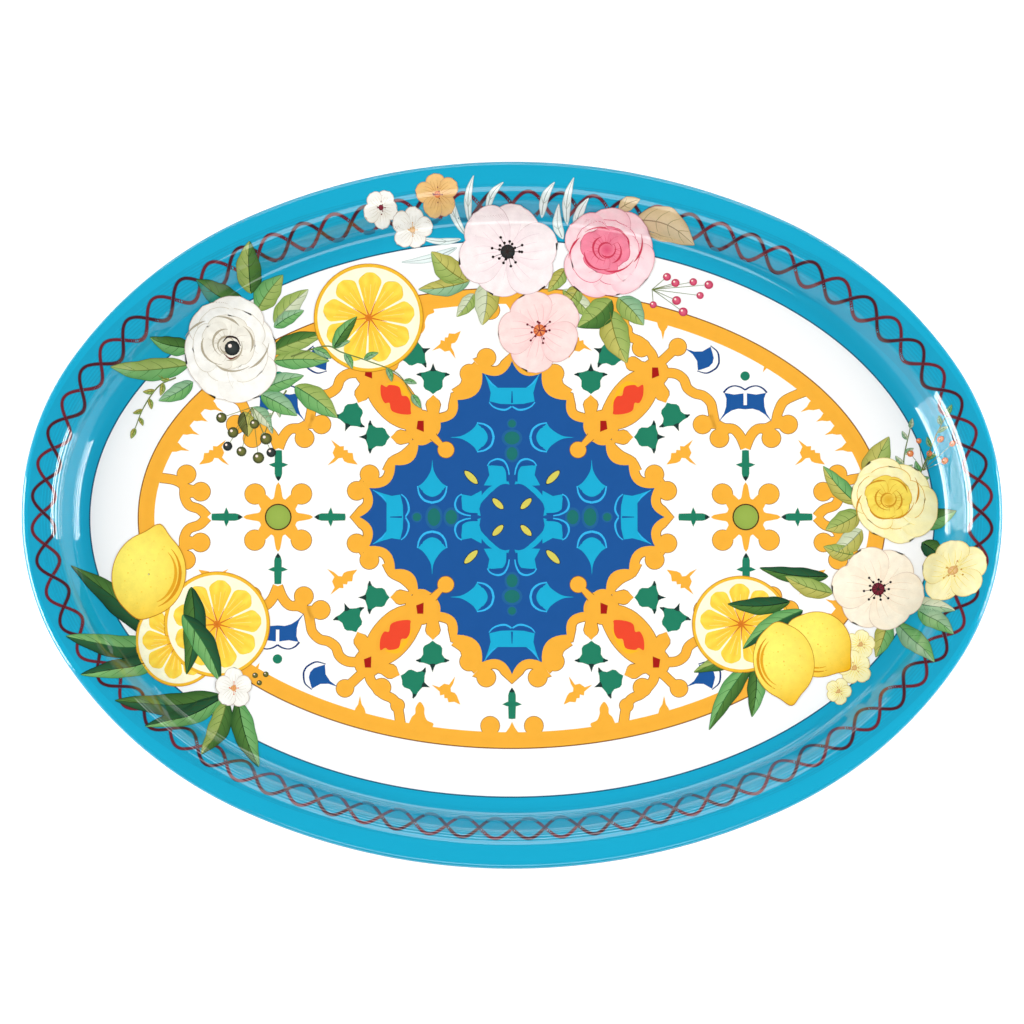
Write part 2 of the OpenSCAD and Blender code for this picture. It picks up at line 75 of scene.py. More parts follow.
def linear(red: float, green: float, blue: float) -> Triple:
    """A display colour of 0 to 255 as scene-linear values."""
    return tuple(
        c / 12.92 if c <= 0.04045 else ((c + 0.055) / 1.055) ** 2.4
        for c in (red / 255, green / 255, blue / 255)
    )


@dataclass(frozen=True)
class Wash:
    """A printed colour that runs from light to deep, as two display colours of 0 to 255."""

    light: Triple
    deep: Triple

    def darker(self) -> "Wash":
        """Its own deep tone running to a darker one, for rims and ribs."""
        return Wash(self.deep, tuple(0.6 * c for c in self.deep))

    def at(self, tone: np.ndarray) -> np.ndarray:
        """The linear colour at each tone, 0 light and 1 deep, as rows of four."""
        tone = np.clip(np.asarray(tone, float).reshape(-1, 1), 0, 1)
        light, deep = np.array(linear(*self.light)), np.array(linear(*self.deep))
        rgb = light * (1 - tone) + deep * tone
        return np.hstack([rgb, np.ones((len(rgb), 1))])


GOLD = Wash((247, 182, 62), (240, 166, 48))
GOLD_EDGE = Wash((150, 92, 38), (120, 70, 30))
OLIVE = Wash((155, 180, 80), (140, 165, 68))
OLIVE_EDGE = Wash((78, 45, 25), (60, 35, 20))
BLUE = Wash((26, 88, 156), (18, 76, 146))
NAVY = Wash((24, 66, 132), (14, 44, 96))
LIGHT_BLUE = Wash((24, 176, 214), (16, 160, 200))
BLUE_GLOW = Wash((62, 190, 240), (30, 165, 225))
TEAL_DOT = Wash((26, 120, 110), (20, 90, 95))
DOT_GLOW = Wash((30, 100, 140), (30, 96, 150))
SEED = Wash((222, 212, 96), (190, 175, 70))
GREEN = Wash((32, 130, 98), (24, 115, 88))
GREEN_TIP = Wash((30, 60, 55), (22, 40, 40))
RED = Wash((238, 76, 44), (226, 58, 36))
DARK_RED = Wash((176, 22, 12), (150, 12, 10))
CREAM = Wash((255, 255, 253), (255, 254, 247))
KEYLINE = Wash((30, 105, 130), (20, 80, 110))
CHAIN_DARK = Wash((86, 26, 38), (62, 16, 28))
CHAIN_RED = Wash((120, 38, 50), (92, 24, 38))
CHAIN_HALO = Wash((30, 120, 150), (24, 110, 140))
# Painted shade: a turquoise a little darker than the rim coat, for the band under the chain where the sloping
# rim takes less light.
BAND_PAINTED_SHADE = Wash((18, 160, 194), (14, 152, 188))


# ---------------------------------------------------------------- the pressed sheet


@dataclass
class TraySurface:
    """The tray's upper face: eight plan arcs and one rim section, in millimetres.

    Args:
        half_l: half the length over the rolled edge.
        half_w: half the width over the rolled edge.
        height: height over the rolled edge.
    """

    half_l: float
    half_w: float
    height: float
    sheet: float = 0.5
    coat: float = 0.2
    curl_r: float = 2.1
    flange_l: float = 5.2
    flange_fall: float = math.radians(4)
    shoulder_r: float = 13.0
    slope: float = math.radians(62)
    cove_r: float = 8.0
    turn_a: float = math.radians(27)
    turn_b: float = math.radians(58)
    end_share: float = 1.046

    def __post_init__(self) -> None:
        """Solves the arcs of the plan and the joints of the section."""
        length, width = self.half_l, self.half_w
        self.ang_a = math.atan2(length * math.sin(self.turn_a), width * math.cos(self.turn_a))
        self.ang_b = math.atan2(length * math.sin(self.turn_b), width * math.cos(self.turn_b))
        self.end_r = self.end_share * width**2 / length
        cos_a, sin_a = math.cos(self.ang_a), math.sin(self.ang_a)
        cos_b, sin_b = math.cos(self.ang_b), math.sin(self.ang_b)
        left = np.array([[cos_b - cos_a, -cos_b], [sin_b - sin_a, 1 - sin_b]])
        right = np.array([-(length - self.end_r) - self.end_r * cos_a, width - self.end_r * sin_a])
        self.corner_r, self.side_r = np.linalg.solve(left, right)
        self.end_c = np.array([length - self.end_r, 0.0])
        self.corner_c = self.end_c + (self.end_r - self.corner_r) * np.array([cos_a, sin_a])
        self.side_c = np.array([0.0, width - self.side_r])
        self.curl_c = np.array([self.curl_r + self.coat, self.height - self.curl_r - self.coat])
        self.flange_end = (
            self.curl_c + self.curl_r * unit(self.flange_fall) + self.flange_l * along(self.flange_fall)
        )
        self.shoulder_c = self.flange_end - self.shoulder_r * unit(self.flange_fall)
        self.wall_top = self.shoulder_c + self.shoulder_r * unit(self.slope)
        drop = self.wall_top[1] - self.sheet - self.cove_r * (1 - math.cos(self.slope))
        self.wall_end = self.wall_top + drop / math.sin(self.slope) * along(self.slope)
        self.cove_c = self.wall_end + self.cove_r * unit(self.slope)
        self.floor_in = float(self.cove_c[0])

    def inset(self, plan: np.ndarray) -> tuple[np.ndarray, np.ndarray]:
        """The distance in from the edge and the outward plan normal at each plan point."""
        fold = np.abs(plan)
        end, corner = fold - self.end_c, fold - self.corner_c
        centre, radius = self._arcs(
            np.arctan2(end[:, 1], end[:, 0]) < self.ang_a, np.arctan2(corner[:, 1], corner[:, 0]) < self.ang_b
        )
        arm = fold - centre
        reach = np.linalg.norm(arm, axis=1)
        return radius - reach, np.where(plan < 0, -1.0, 1.0) * arm / reach[:, None]

    def _arcs(self, on_end: np.ndarray, on_corner: np.ndarray) -> tuple[np.ndarray, np.ndarray]:
        """Centre and radius of the plan arc that each point of one quarter belongs to."""
        centre = np.where(on_corner[:, None], self.corner_c, self.side_c)
        radius = np.where(on_corner, self.corner_r, self.side_r)
        return np.where(on_end[:, None], self.end_c, centre), np.where(on_end, self.end_r, radius)

    def profile(self, d: np.ndarray) -> tuple[np.ndarray, np.ndarray]:
        """Height of the sheet's upper face and its tilt at each distance in."""
        flange_x, shoulder_x, shoulder_z = self.flange_end[0], *self.shoulder_c
        on_curl = np.clip((d - self.curl_c[0]) / self.curl_r, -1, 1)
        curl_z = self.curl_c[1] + self.curl_r * np.sqrt(1 - on_curl**2)
        flange_z = self.flange_end[1] + (flange_x - d) * math.tan(self.flange_fall)
        on_shoulder = np.clip((d - shoulder_x) / self.shoulder_r, -1, 1)
        shoulder = shoulder_z + self.shoulder_r * np.sqrt(1 - on_shoulder**2)
        wall = self.wall_top[1] - (d - self.wall_top[0]) * math.tan(self.slope)
        on_cove = np.clip((self.cove_c[0] - d) / self.cove_r, -1, 1)
        cove = self.cove_c[1] - self.cove_r * np.sqrt(1 - on_cove**2)
        zones = [d < self.curl_c[0] + self.curl_r * math.sin(self.flange_fall), d < flange_x,
                 d < self.wall_top[0], d < self.wall_end[0], d < self.floor_in]
        level = np.zeros_like(d)
        tilts = [np.arcsin(on_curl), level + self.flange_fall, np.arcsin(on_shoulder),
                 level + self.slope, np.arcsin(on_cove)]
        z = np.select(zones, [curl_z, flange_z, shoulder, wall, cove], level + self.sheet)
        return z, np.select(zones, tilts, level)

    def drape(self, plan: np.ndarray, up: np.ndarray) -> tuple[np.ndarray, np.ndarray]:
        """Plan points raised on to the surface, and out by up along its normal.

        Returns:
            The points and the surface normals, as rows of three.
        """
        d, outward = self.inset(plan)
        z, tilt = self.profile(d)
        normal = np.column_stack([-outward * np.sin(tilt)[:, None], np.cos(tilt)])
        points = np.column_stack([plan, z]) + normal * np.reshape(up, (-1, 1))
        return points, normal

    def section(self, up: float, wrap: float, inner: float) -> np.ndarray:
        """The rim section as (distance in, height), from the curl to the floor.

        Args:
            up: height above the sheet's upper face.
            wrap: how far round the curl the line starts, in radians.
            inner: distance in at which it ends on the floor.
        """
        parts = [
            bend(self.curl_c, self.curl_r + up, -wrap, self.flange_fall, 0.14),
            bend(self.shoulder_c, self.shoulder_r + up, self.flange_fall, self.slope, 0.045),
            bend(self.cove_c, up - self.cove_r, self.slope, 0, 0.06),
            np.array([[inner, self.sheet + up]]),
        ]
        return np.vstack(parts)

    def stations(self, count: int) -> tuple[np.ndarray, np.ndarray, np.ndarray]:
        """Centre, radius and outward normal at each of count turns round the plan."""
        turn = (np.arange(count) + 0.5) * 2 * math.pi / count
        normal = np.column_stack([np.cos(turn), np.sin(turn)])
        folded = np.arctan2(np.abs(normal[:, 1]), np.abs(normal[:, 0]))
        centre, radius = self._arcs(folded < self.ang_a, folded < self.ang_b)
        return centre * np.where(normal < 0, -1.0, 1.0), radius, normal


def unit(tilt: float) -> np.ndarray:
    """The section's normal at a tilt."""
    return np.array([math.sin(tilt), math.cos(tilt)])


def along(tilt: float) -> np.ndarray:
    """The section's downhill direction at a tilt."""
    return np.array([math.cos(tilt), -math.sin(tilt)])


def bend(centre: np.ndarray, radius: float, start: float, stop: float, step: float) -> np.ndarray:
    """Points of a section arc between two tilts."""
    count = max(2, int(abs(stop - start) / step) + 1)
    return np.array([centre + radius * unit(a) for a in np.linspace(start, stop, count)])


# ---------------------------------------------------------------- plan drawing


def smooth(points: Sequence[Point], closed: bool = False, per: int = 6) -> np.ndarray:
    """A Catmull-Rom curve through plan points, with per steps between two of them."""
    pts = np.array(points, float)
    if len(pts) < 3:
        return pts
    if closed:
        ring = np.vstack([pts[-1:], pts, pts[:2]])
    else:
        ring = np.vstack([2 * pts[0] - pts[1], pts, 2 * pts[-1] - pts[-2]])
    out = []
    for a, b, c, e in zip(ring, ring[1:], ring[2:], ring[3:]):
        for t in np.arange(per) / per:
            bends = (2 * a - 5 * b + 4 * c - e) * t**2 + (3 * b - 3 * c + e - a) * t**3
            out.append(0.5 * (2 * b + (c - a) * t + bends))
    if not closed:
        out.append(pts[-1])
    return np.array(out)


def circle(centre: Point, radius: float, count: int = 28) -> np.ndarray:
    """A plan circle."""
    return ellipse(centre, radius, radius, count)


def ellipse(centre: Point, rx: float, ry: float, count: int = 144) -> np.ndarray:
    """A plan ellipse with its axes along X and Y."""
    turn = np.arange(count) * 2 * math.pi / count
    return np.column_stack([centre[0] + rx * np.cos(turn), centre[1] + ry * np.sin(turn)])


def polar(centre: Point, reach: np.ndarray, angle: np.ndarray) -> np.ndarray:
    """Plan points at a reach and an angle from a centre."""
    return np.stack([centre[0] + reach * np.cos(angle), centre[1] + reach * np.sin(angle)], axis=-1)


def oval(rx: float, ry: float, turn: np.ndarray) -> tuple[np.ndarray, np.ndarray]:
    """The points of an ellipse at each turn, and its outward normals there."""
    normal = np.column_stack([np.cos(turn) / rx, np.sin(turn) / ry])
    normal /= np.linalg.norm(normal, axis=1, keepdims=True)
    return np.column_stack([rx * np.cos(turn), ry * np.sin(turn)]), normal


def oval_band(rx: float, ry: float, offsets: Sequence[float], count: int) -> np.ndarray:
    """A band between offsets of an ellipse, as a grid that ends where it starts."""
    edge, normal = oval(rx, ry, np.linspace(0, 2 * math.pi, count + 1))
    return edge[:, None, :] + np.array(offsets)[None, :, None] * normal[:, None, :]


def placed(shape: np.ndarray, centre: Point, turn: float = 0.0, size: float = 1.0) -> np.ndarray:
    """A plan shape scaled, turned by degrees and moved to a centre."""
    a = math.radians(turn)
    spin = np.array([[math.cos(a), math.sin(a)], [-math.sin(a), math.cos(a)]])
    return np.asarray(shape, float) * size @ spin + np.array(centre)


def both_sides(right: Sequence[Point]) -> np.ndarray:
    """A closed outline from its right half, drawn from one end of the Y axis to the other."""
    half = np.array(right, float)
    left = half[::-1] * (-1, 1)
    keep = np.abs(left[:, 0]) > 1e-9
    return np.vstack([half, left[keep]])


def sag_edge(start: Point, stop: Point, centre: Point, share: float, count: int = 7) -> np.ndarray:
    """An edge between two points that hangs towards a centre by a share of its length."""
    a, b = np.array(start, float), np.array(stop, float)
    t = np.linspace(0, 1, count, endpoint=False)[:, None]
    across = np.array([a[1] - b[1], b[0] - a[0]])
    if np.dot(across, np.array(centre) - (a + b) / 2) < 0:
        across = -across
    return a + (b - a) * t + across * share * 4 * t * (1 - t)


class Fold(Enum):
    """How a motif repeats about the tray's two axes."""

    ONCE = ((1, 1),)
    LEFT_RIGHT = ((1, 1), (-1, 1))
    UP_DOWN = ((1, 1), (1, -1))
    FOUR = ((1, 1), (-1, 1), (1, -1), (-1, -1))


# ---------------------------------------------------------------- finishes


@dataclass(frozen=True)
class Finish:
    """A varnished or stoved finish.

    Args:
        name: material name.
        colour: display colour of 0 to 255, or None where the colour is laid by the artwork.
        mottle: how far the colour drifts.
        grain: size of the drift, in cells a metre.
        peel: height of the orange peel, in metres.
    """

    name: str
    colour: Triple | None = None
    mottle: float = 0.05
    grain: float = 60.0
    peel: float = 0.0000025


TURQUOISE_ENAMEL = Finish("turquoise_enamel", (14, 166, 202), 0.05, 18.0)
WHITE_ENAMEL = Finish("white_enamel", (250, 250, 249), 0.015, 12.0)
LACQUER = Finish("white_lacquered_tinplate", (226, 228, 229), 0.06, 25.0, 0.000006)
PRINT = Finish("printed_ink", None, 0.07, 160.0, 0.0000012)
WASH_PRINT = Finish("watercolour_print", None, 0.2, 220.0, 0.0000012)


Sockets = dict[str | int, object]


def feed(tree: bpy.types.NodeTree, node: bpy.types.Node, sockets: Sockets) -> None:
    """Gives each input socket of a node its value, or links it to the output given."""
    for label, value in sockets.items():
        if isinstance(value, bpy.types.NodeSocket):
            tree.links.new(value, node.inputs[label])
        else:
            node.inputs[label].default_value = value


def add_node(
    tree: bpy.types.NodeTree, kind: str, sockets: Sockets | None = None, operation: str = ""
) -> bpy.types.Node:
    """A new shader node with its operation and its input sockets set."""
    node = tree.nodes.new("ShaderNode" + kind)
    if operation:
        node.operation = operation
    feed(tree, node, sockets or {})
    return node


def blank_material(name: str) -> tuple[bpy.types.Material, bpy.types.NodeTree, bpy.types.Node]:
    """A new material, its tree and its shader."""
    material = bpy.data.materials.new(name)
    material.use_nodes = True
    return material, material.node_tree, material.node_tree.nodes["Principled BSDF"]


class Finishes:
    """Builds the shared shader groups once, and each material when it is first asked for."""

    def __init__(self) -> None:
        """Makes the shared groups."""
        self.made: dict[str, bpy.types.Material] = {}
        self.mottle = self._mottle_group()
        self.peel = self._peel_group()
        self.draw = self._draw_group()

    @staticmethod
    def _group(name: str, inputs: dict[str, str], outputs: dict[str, str]):
        """An empty node group with its sockets, its input node and its output node."""
        group = bpy.data.node_groups.new(name, "ShaderNodeTree")
        for label, kind in inputs.items():
            group.interface.new_socket(label, in_out="INPUT", socket_type=kind)
        for label, kind in outputs.items():
            group.interface.new_socket(label, in_out="OUTPUT", socket_type=kind)
        return group, group.nodes.new("NodeGroupInput"), group.nodes.new("NodeGroupOutput")

    def _mottle_group(self) -> bpy.types.NodeTree:
        """Colour that drifts slowly and carries a fine pigment grain."""
        group, source, result = self._group(
            "pigment_mottle",
            {"Color": "NodeSocketColor", "Amount": "NodeSocketFloat", "Scale": "NodeSocketFloat"},
            {"Color": "NodeSocketColor", "Roughness": "NodeSocketFloat"},
        )
        asked = source.outputs
        place = add_node(group, "TexCoord").outputs["Object"]
        drift = add_node(
            group, "TexNoise", {"Vector": place, "Scale": asked["Scale"], "Detail": 5.0, "Roughness": 0.62}
        )
        fine = add_node(group, "TexNoise", {"Vector": place, "Scale": 2600.0, "Detail": 2.0})
        both = add_node(
            group, "Math", {0: fine.outputs["Fac"], 1: 0.35, 2: drift.outputs["Fac"]}, "MULTIPLY_ADD"
        )
        span = add_node(group, "MapRange", {
            "Value": both.outputs[0], "From Min": 0.35, "From Max": 1.0, "To Min": -0.5, "To Max": 0.5,
        }).outputs["Result"]
        swing = add_node(group, "Math", {0: span, 1: asked["Amount"], 2: 1.0}, "MULTIPLY_ADD")
        scaled = add_node(group, "VectorMath", {0: asked["Color"], "Scale": swing.outputs[0]}, "SCALE")
        rough = add_node(group, "MapRange", {
            "Value": span, "From Min": -0.5, "From Max": 0.5, "To Min": 0.3, "To Max": 0.46,
        })
        feed(group, result, {"Color": scaled.outputs["Vector"], "Roughness": rough.outputs["Result"]})
        return group

    def _peel_group(self) -> bpy.types.NodeTree:
        """The faint orange peel of a stoved coat, as a height."""
        group, source, result = self._group(
            "orange_peel", {"Depth": "NodeSocketFloat"}, {"Height": "NodeSocketFloat"}
        )
        place = add_node(group, "TexCoord").outputs["Object"]
        swell = add_node(group, "TexNoise", {"Vector": place, "Scale": 240.0, "Detail": 1.5})
        depth = add_node(group, "Math", {0: swell.outputs["Fac"], 1: source.outputs["Depth"]}, "MULTIPLY")
        feed(group, result, {"Height": depth.outputs[0]})
        return group

    def _draw_group(self) -> bpy.types.NodeTree:
        """Fine drawing lines of a cold-drawn wire, as a height and a roughness."""
        group, _, result = self._group(
            "drawn_wire", {}, {"Height": "NodeSocketFloat", "Roughness": "NodeSocketFloat"}
        )
        place = add_node(group, "TexCoord").outputs["Object"]
        lines = add_node(group, "TexNoise", {"Vector": place, "Scale": 900.0, "Detail": 3.0}).outputs["Fac"]
        height = add_node(group, "Math", {0: lines, 1: 0.00002}, "MULTIPLY")
        rough = add_node(group, "MapRange", {"Value": lines, "To Min": 0.2, "To Max": 0.45})
        feed(group, result, {"Height": height.outputs[0], "Roughness": rough.outputs["Result"]})
        return group

    @staticmethod
    def _use(tree: bpy.types.NodeTree, group: bpy.types.NodeTree, sockets: Sockets) -> bpy.types.Node:
        """A node that uses a shared group."""
        node = add_node(tree, "Group")
        node.node_tree = group
        feed(tree, node, sockets)
        return node

    def get(self, finish: Finish) -> bpy.types.Material:
        """The material of a finish."""
        if finish.name not in self.made:
            self.made[finish.name] = self._coated(finish)
        return self.made[finish.name]

    def _coated(self, finish: Finish) -> bpy.types.Material:
        """Pigment under a clear gloss coat."""
        material, tree, shader = blank_material(finish.name)
        if finish.colour is None:
            laid = add_node(tree, "Attribute")
            laid.attribute_name = "wash"
            colour = laid.outputs["Color"]
        else:
            colour = (*linear(*finish.colour), 1.0)
        mottle = self._use(
            tree, self.mottle, {"Color": colour, "Amount": finish.mottle, "Scale": finish.grain}
        )
        peel = self._use(tree, self.peel, {"Depth": 1.0})
        bump = add_node(
            tree, "Bump", {"Height": peel.outputs["Height"], "Strength": 1.0, "Distance": finish.peel}
        )
        feed(tree, shader, {
            "Base Color": mottle.outputs["Color"], "Roughness": mottle.outputs["Roughness"],
            "Specular IOR Level": 0.05, "Coat Weight": 1.0, "Coat Roughness": 0.035, "Coat IOR": 1.55,
            "Coat Normal": bump.outputs["Normal"],
        })
        return material

    def wire(self) -> bpy.types.Material:
        """Bare drawn steel wire."""
        material, tree, shader = blank_material("drawn_steel_wire")
        drawn = self._use(tree, self.draw, {})
        bump = add_node(tree, "Bump", {"Height": drawn.outputs["Height"], "Distance": 0.001})
        feed(tree, shader, {
            "Base Color": (*linear(196, 198, 202), 1.0), "Metallic": 1.0,
            "Roughness": drawn.outputs["Roughness"], "Normal": bump.outputs["Normal"],
        })
        return material


# ---------------------------------------------------------------- pieces


class Workshop:
    """Makes pieces from meshes and ties each one to the frame."""

    def __init__(self, surface: TraySurface) -> None:
        """Keeps the surface that everything is laid on."""
        self.surface = surface
        self.finishes = Finishes()
        self.replaced: set[str] = set()

    def add(
        self, name: str, points: np.ndarray, faces: list, material: bpy.types.Material, slot: str,
        node: str | None = None, normals: np.ndarray | None = None, colours: np.ndarray | None = None,
    ) -> bpy.types.Object:
        """Adds one piece.

        Args:
            name: piece name.
            points: vertices in millimetres.
            faces: vertex numbers of each face.
            material: its material.
            slot: the record's material slot; not used.
            node: the CAD node that this piece stands for, once.
            normals: vertex normals, where they are known better than from the faces.
            colours: linear colour at each vertex.

        Returns:
            The new object, riding on the tray.
        """
        mesh = bpy.data.meshes.new(name)
        mesh.from_pydata((points * MM).tolist(), [], faces)
        mesh.polygons.foreach_set("use_smooth", [True] * len(mesh.polygons))
        if colours is not None:
            laid = mesh.attributes.new("wash", "FLOAT_COLOR", "POINT")
            laid.data.foreach_set("color", colours.astype(np.float32).ravel())
        mesh.materials.append(material)
        mesh.update()
        if normals is not None:
            mesh.normals_split_custom_set_from_vertices(normals.tolist())
        piece = bpy.data.objects.new(name, mesh)
        bpy.context.scene.collection.objects.link(piece)
        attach(piece, BODY)
        if node and node not in self.replaced:
            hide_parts(node)
            self.replaced.add(node)
        log.info("%s: %d vertices, %d faces", name, len(points), len(faces))
        return piece


@dataclass
class Artwork:
    """One printed piece, gathered as plan patches and then draped on the tray.

    Args:
        shop: the workshop that makes the piece.
        name: piece name.
        slot: the record's material slot.
        node: the CAD node it stands for or belongs to.
        level: how many film steps it lies above the coat.
        finish: its finish.
    """

    shop: Workshop
    name: str
    slot: str
    node: str
    level: float = 1.0
    finish: Finish = PRINT
    plans: list = field(default_factory=list)
    ups: list = field(default_factory=list)
    colours: list = field(default_factory=list)
    faces: list = field(default_factory=list)
    count: int = 0

    FILM = 0.03
    APART = 0.24
    GOLDEN = (math.sqrt(5) - 1) / 2
    FILL_COPY = 0.04
    GRID_COPY = 0.03

    def _take(self, plan: np.ndarray, faces: list, colours: np.ndarray, lift: float) -> None:
        """Keeps one patch, faces upwards, a hair above the patch before it so that none coincide."""
        faces = np.array(faces)
        ring = plan[faces]
        nxt = np.roll(ring, -1, axis=1)
        area = (ring[..., 0] * nxt[..., 1] - nxt[..., 0] * ring[..., 1]).sum(axis=1)
        faces = np.where(area[:, None] > 0, faces, faces[:, ::-1])[np.abs(area) > 1e-7]
        self.faces.extend(map(tuple, (faces + self.count).tolist()))
        lift += self.APART * ((self.GOLDEN * len(self.plans)) % 1.0)
        self.plans.append(plan)
        self.ups.append(np.full(len(plan), self.shop.surface.coat + (self.level + lift) * self.FILM))
        self.colours.append(colours)
        self.count += len(plan)

    def fill(
        self, outline: np.ndarray, wash: Wash, tone: float = 0.5, fold: Fold = Fold.ONCE, lift: float = 0.0
    ) -> None:
        """A flat outline on the floor, repeated about the axes."""
        outline = np.asarray(outline, float)
        faces, colours = [tuple(range(len(outline)))], wash.at(np.full(len(outline), tone))
        for copy, sign in enumerate(fold.value):
            self._take(outline * sign, faces, colours, lift + copy * self.FILL_COPY)

    def grid(
        self, points: np.ndarray, wash: Wash, tone: np.ndarray | float = 0.5, fold: Fold = Fold.ONCE,
        lift: float = 0.0,
    ) -> None:
        """A grid of plan points, rows by columns, with a tone at each."""
        rows, cols = points.shape[:2]
        tones = np.broadcast_to(np.asarray(tone, float), (rows, cols)).reshape(-1)
        faces = [
            (r * cols + c, r * cols + c + 1, (r + 1) * cols + c + 1, (r + 1) * cols + c)
            for r in range(rows - 1)
            for c in range(cols - 1)
        ]
        for copy, sign in enumerate(fold.value):
            self._take(points.reshape(-1, 2) * sign, faces, wash.at(tones), lift + copy * self.GRID_COPY)

    def stroke(
        self, points: Sequence[Point] | np.ndarray, width: float | Sequence[float], wash: Wash,
        tone: float = 0.5, fold: Fold = Fold.ONCE, lift: float = 0.0, closed: bool = False, per: int = 6,
    ) -> None:
        """A brush line through plan points; width is one value or a list spread along it."""
        path = smooth(points, closed, per)
        if closed:
            path = np.vstack([path, path[:1]])
        ahead = np.gradient(path, axis=0)
        if closed:
            ahead[0] = ahead[-1] = path[1] - path[-2]
        ahead /= np.maximum(np.linalg.norm(ahead, axis=1, keepdims=True), 1e-9)
        side = np.column_stack([-ahead[:, 1], ahead[:, 0]])
        widths = np.atleast_1d(np.asarray(width, float))
        half = np.interp(np.linspace(0, 1, len(path)), np.linspace(0, 1, len(widths)), widths) / 2
        if len(widths) == 1:
            half = np.full(len(path), widths[0] / 2)
        rows = np.stack([path - side * half[:, None], path + side * half[:, None]], axis=1)
        self.grid(rows, wash, tone, fold, lift)

    def disc(
        self, centre: Point, radius: float, wash: Wash, tones: tuple[float, float] = (0.5, 0.5),
        fold: Fold = Fold.ONCE, lift: float = 0.0, rings: int = 2, count: int = 24,
    ) -> None:
        """A round patch, toned from its middle to its edge."""
        radii = np.linspace(0.002, 1, rings + 1)[:, None]
        points = polar(centre, radii * radius, np.linspace(0, 2 * math.pi, count + 1))
        self.grid(points, wash, tones[0] + (tones[1] - tones[0]) * radii**1.6, fold, lift)

    def build(self) -> bpy.types.Object:
        """Drapes the patches and makes the piece."""
        plan, up = np.vstack(self.plans), np.concatenate(self.ups)
        points, normals = self.shop.surface.drape(plan, up)
        return self.shop.add(
            self.name, points, self.faces, self.shop.finishes.get(self.finish), self.slot, self.node,
            normals, np.vstack(self.colours),
        )


# ---------------------------------------------------------------- sheet metal and coats


@dataclass
class Metalwork:
    """The pressed pan, the wire in its rolled edge, and its stoved coats."""

    shop: Workshop
    turns: int = 720
    curl_wrap: float = math.radians(262)
    coat_wrap: float = math.radians(105)
    coat_under_field: float = 12.0
    plate_in: float = 30.0
    plate_lap: float = 0.1
    field_in_ends: float = 0.9
    field_in_sides: float = 4.9

    def swept(self, name: str, line: np.ndarray, finish: Finish, slot: str, node: str, closed: bool) -> None:
        """A section swept round the plan.

        Args:
            name: piece name.
            line: the section as (distance in, height).
            finish: its finish.
            slot: the record's material slot.
            node: the CAD node it stands for.
            closed: whether the section closes on itself, its last point joined to its first.
        """
        centre, radius, normal = self.shop.surface.stations(self.turns)
        ring = centre[:, None, :] + (radius[:, None] - line[None, :, 0])[..., None] * normal[:, None, :]
        height = np.broadcast_to(line[None, :, 1], ring.shape[:2])
        points = np.concatenate([ring, height[..., None]], axis=2).reshape(-1, 3)
        cols = len(line)
        faces = [
            (r * cols + c, ((r + 1) % self.turns) * cols + c,
             ((r + 1) % self.turns) * cols + c + 1, r * cols + c + 1)
            for r in range(self.turns)
            for c in range(cols - 1)
        ]
        if closed:
            faces += [
                (r * cols + cols - 1, ((r + 1) % self.turns) * cols + cols - 1,
                 ((r + 1) % self.turns) * cols, r * cols)
                for r in range(self.turns)
            ]
        self.shop.add(name, points, faces, self.shop.finishes.get(finish), slot, node)

    def pan(self) -> None:
        """The sheet itself: rolled edge, wall, cove, and a plate for the floor."""
        s = self.shop.surface
        inner = s.floor_in + self.plate_in
        upper = s.section(0.0, self.curl_wrap, inner)
        lower = s.section(-s.sheet, self.curl_wrap, inner)
        skin = np.vstack([upper, lower[::-1]])
        self.swept("pan_rim_and_wall", skin, LACQUER, "lacquered_steel", "pan", True)
        centre, radius, normal = s.stations(self.turns)
        edge = centre + (radius - s.floor_in - (self.plate_in - self.plate_lap))[:, None] * normal
        count = len(edge)
        top = np.column_stack([edge, np.full(count, s.sheet)])
        bottom = np.column_stack([edge, np.zeros(count)])
        sides = [(i, i + count, (i + 1) % count + count, (i + 1) % count) for i in range(count)]
        faces = [tuple(range(count)), tuple(range(2 * count - 1, count - 1, -1)), *sides]
        plate = self.shop.add(
            "pan_floor_plate", np.vstack([top, bottom]), faces,
            self.shop.finishes.get(LACQUER), "lacquered_steel",
        )
        plate.data.polygons.foreach_set("use_smooth", [False] * len(plate.data.polygons))

    def wire(self) -> None:
        """The steel wire that stiffens the rolled edge keeps its CAD mesh."""
        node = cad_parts["rim_wire"]
        node.data.materials.clear()
        node.data.materials.append(self.shop.finishes.wire())
        log.info("rim_wire: CAD mesh kept")

    def coats(self) -> None:
        """The turquoise rim and the white field."""
        s = self.shop.surface
        rim = s.section(s.coat, self.coat_wrap, s.floor_in + self.coat_under_field)
        self.swept("rim_turquoise_coat", rim[::-1], TURQUOISE_ENAMEL, "turquoise_enamel", "rim_enamel", False)
        white = Artwork(self.shop, "field_white_coat", "white_enamel", "field_enamel", 0.4, WHITE_ENAMEL)
        rx, ry = self.field_axes()
        white.disc((0, 0), 1.0, CREAM, rings=2, count=180)
        white.plans[-1] = white.plans[-1] * (rx, ry)
        white.build()

    def field_axes(self) -> tuple[float, float]:
        """Half length and half width of the white field."""
        s = self.shop.surface
        return (s.half_l - s.floor_in - self.field_in_ends, s.half_w - s.floor_in - self.field_in_sides)


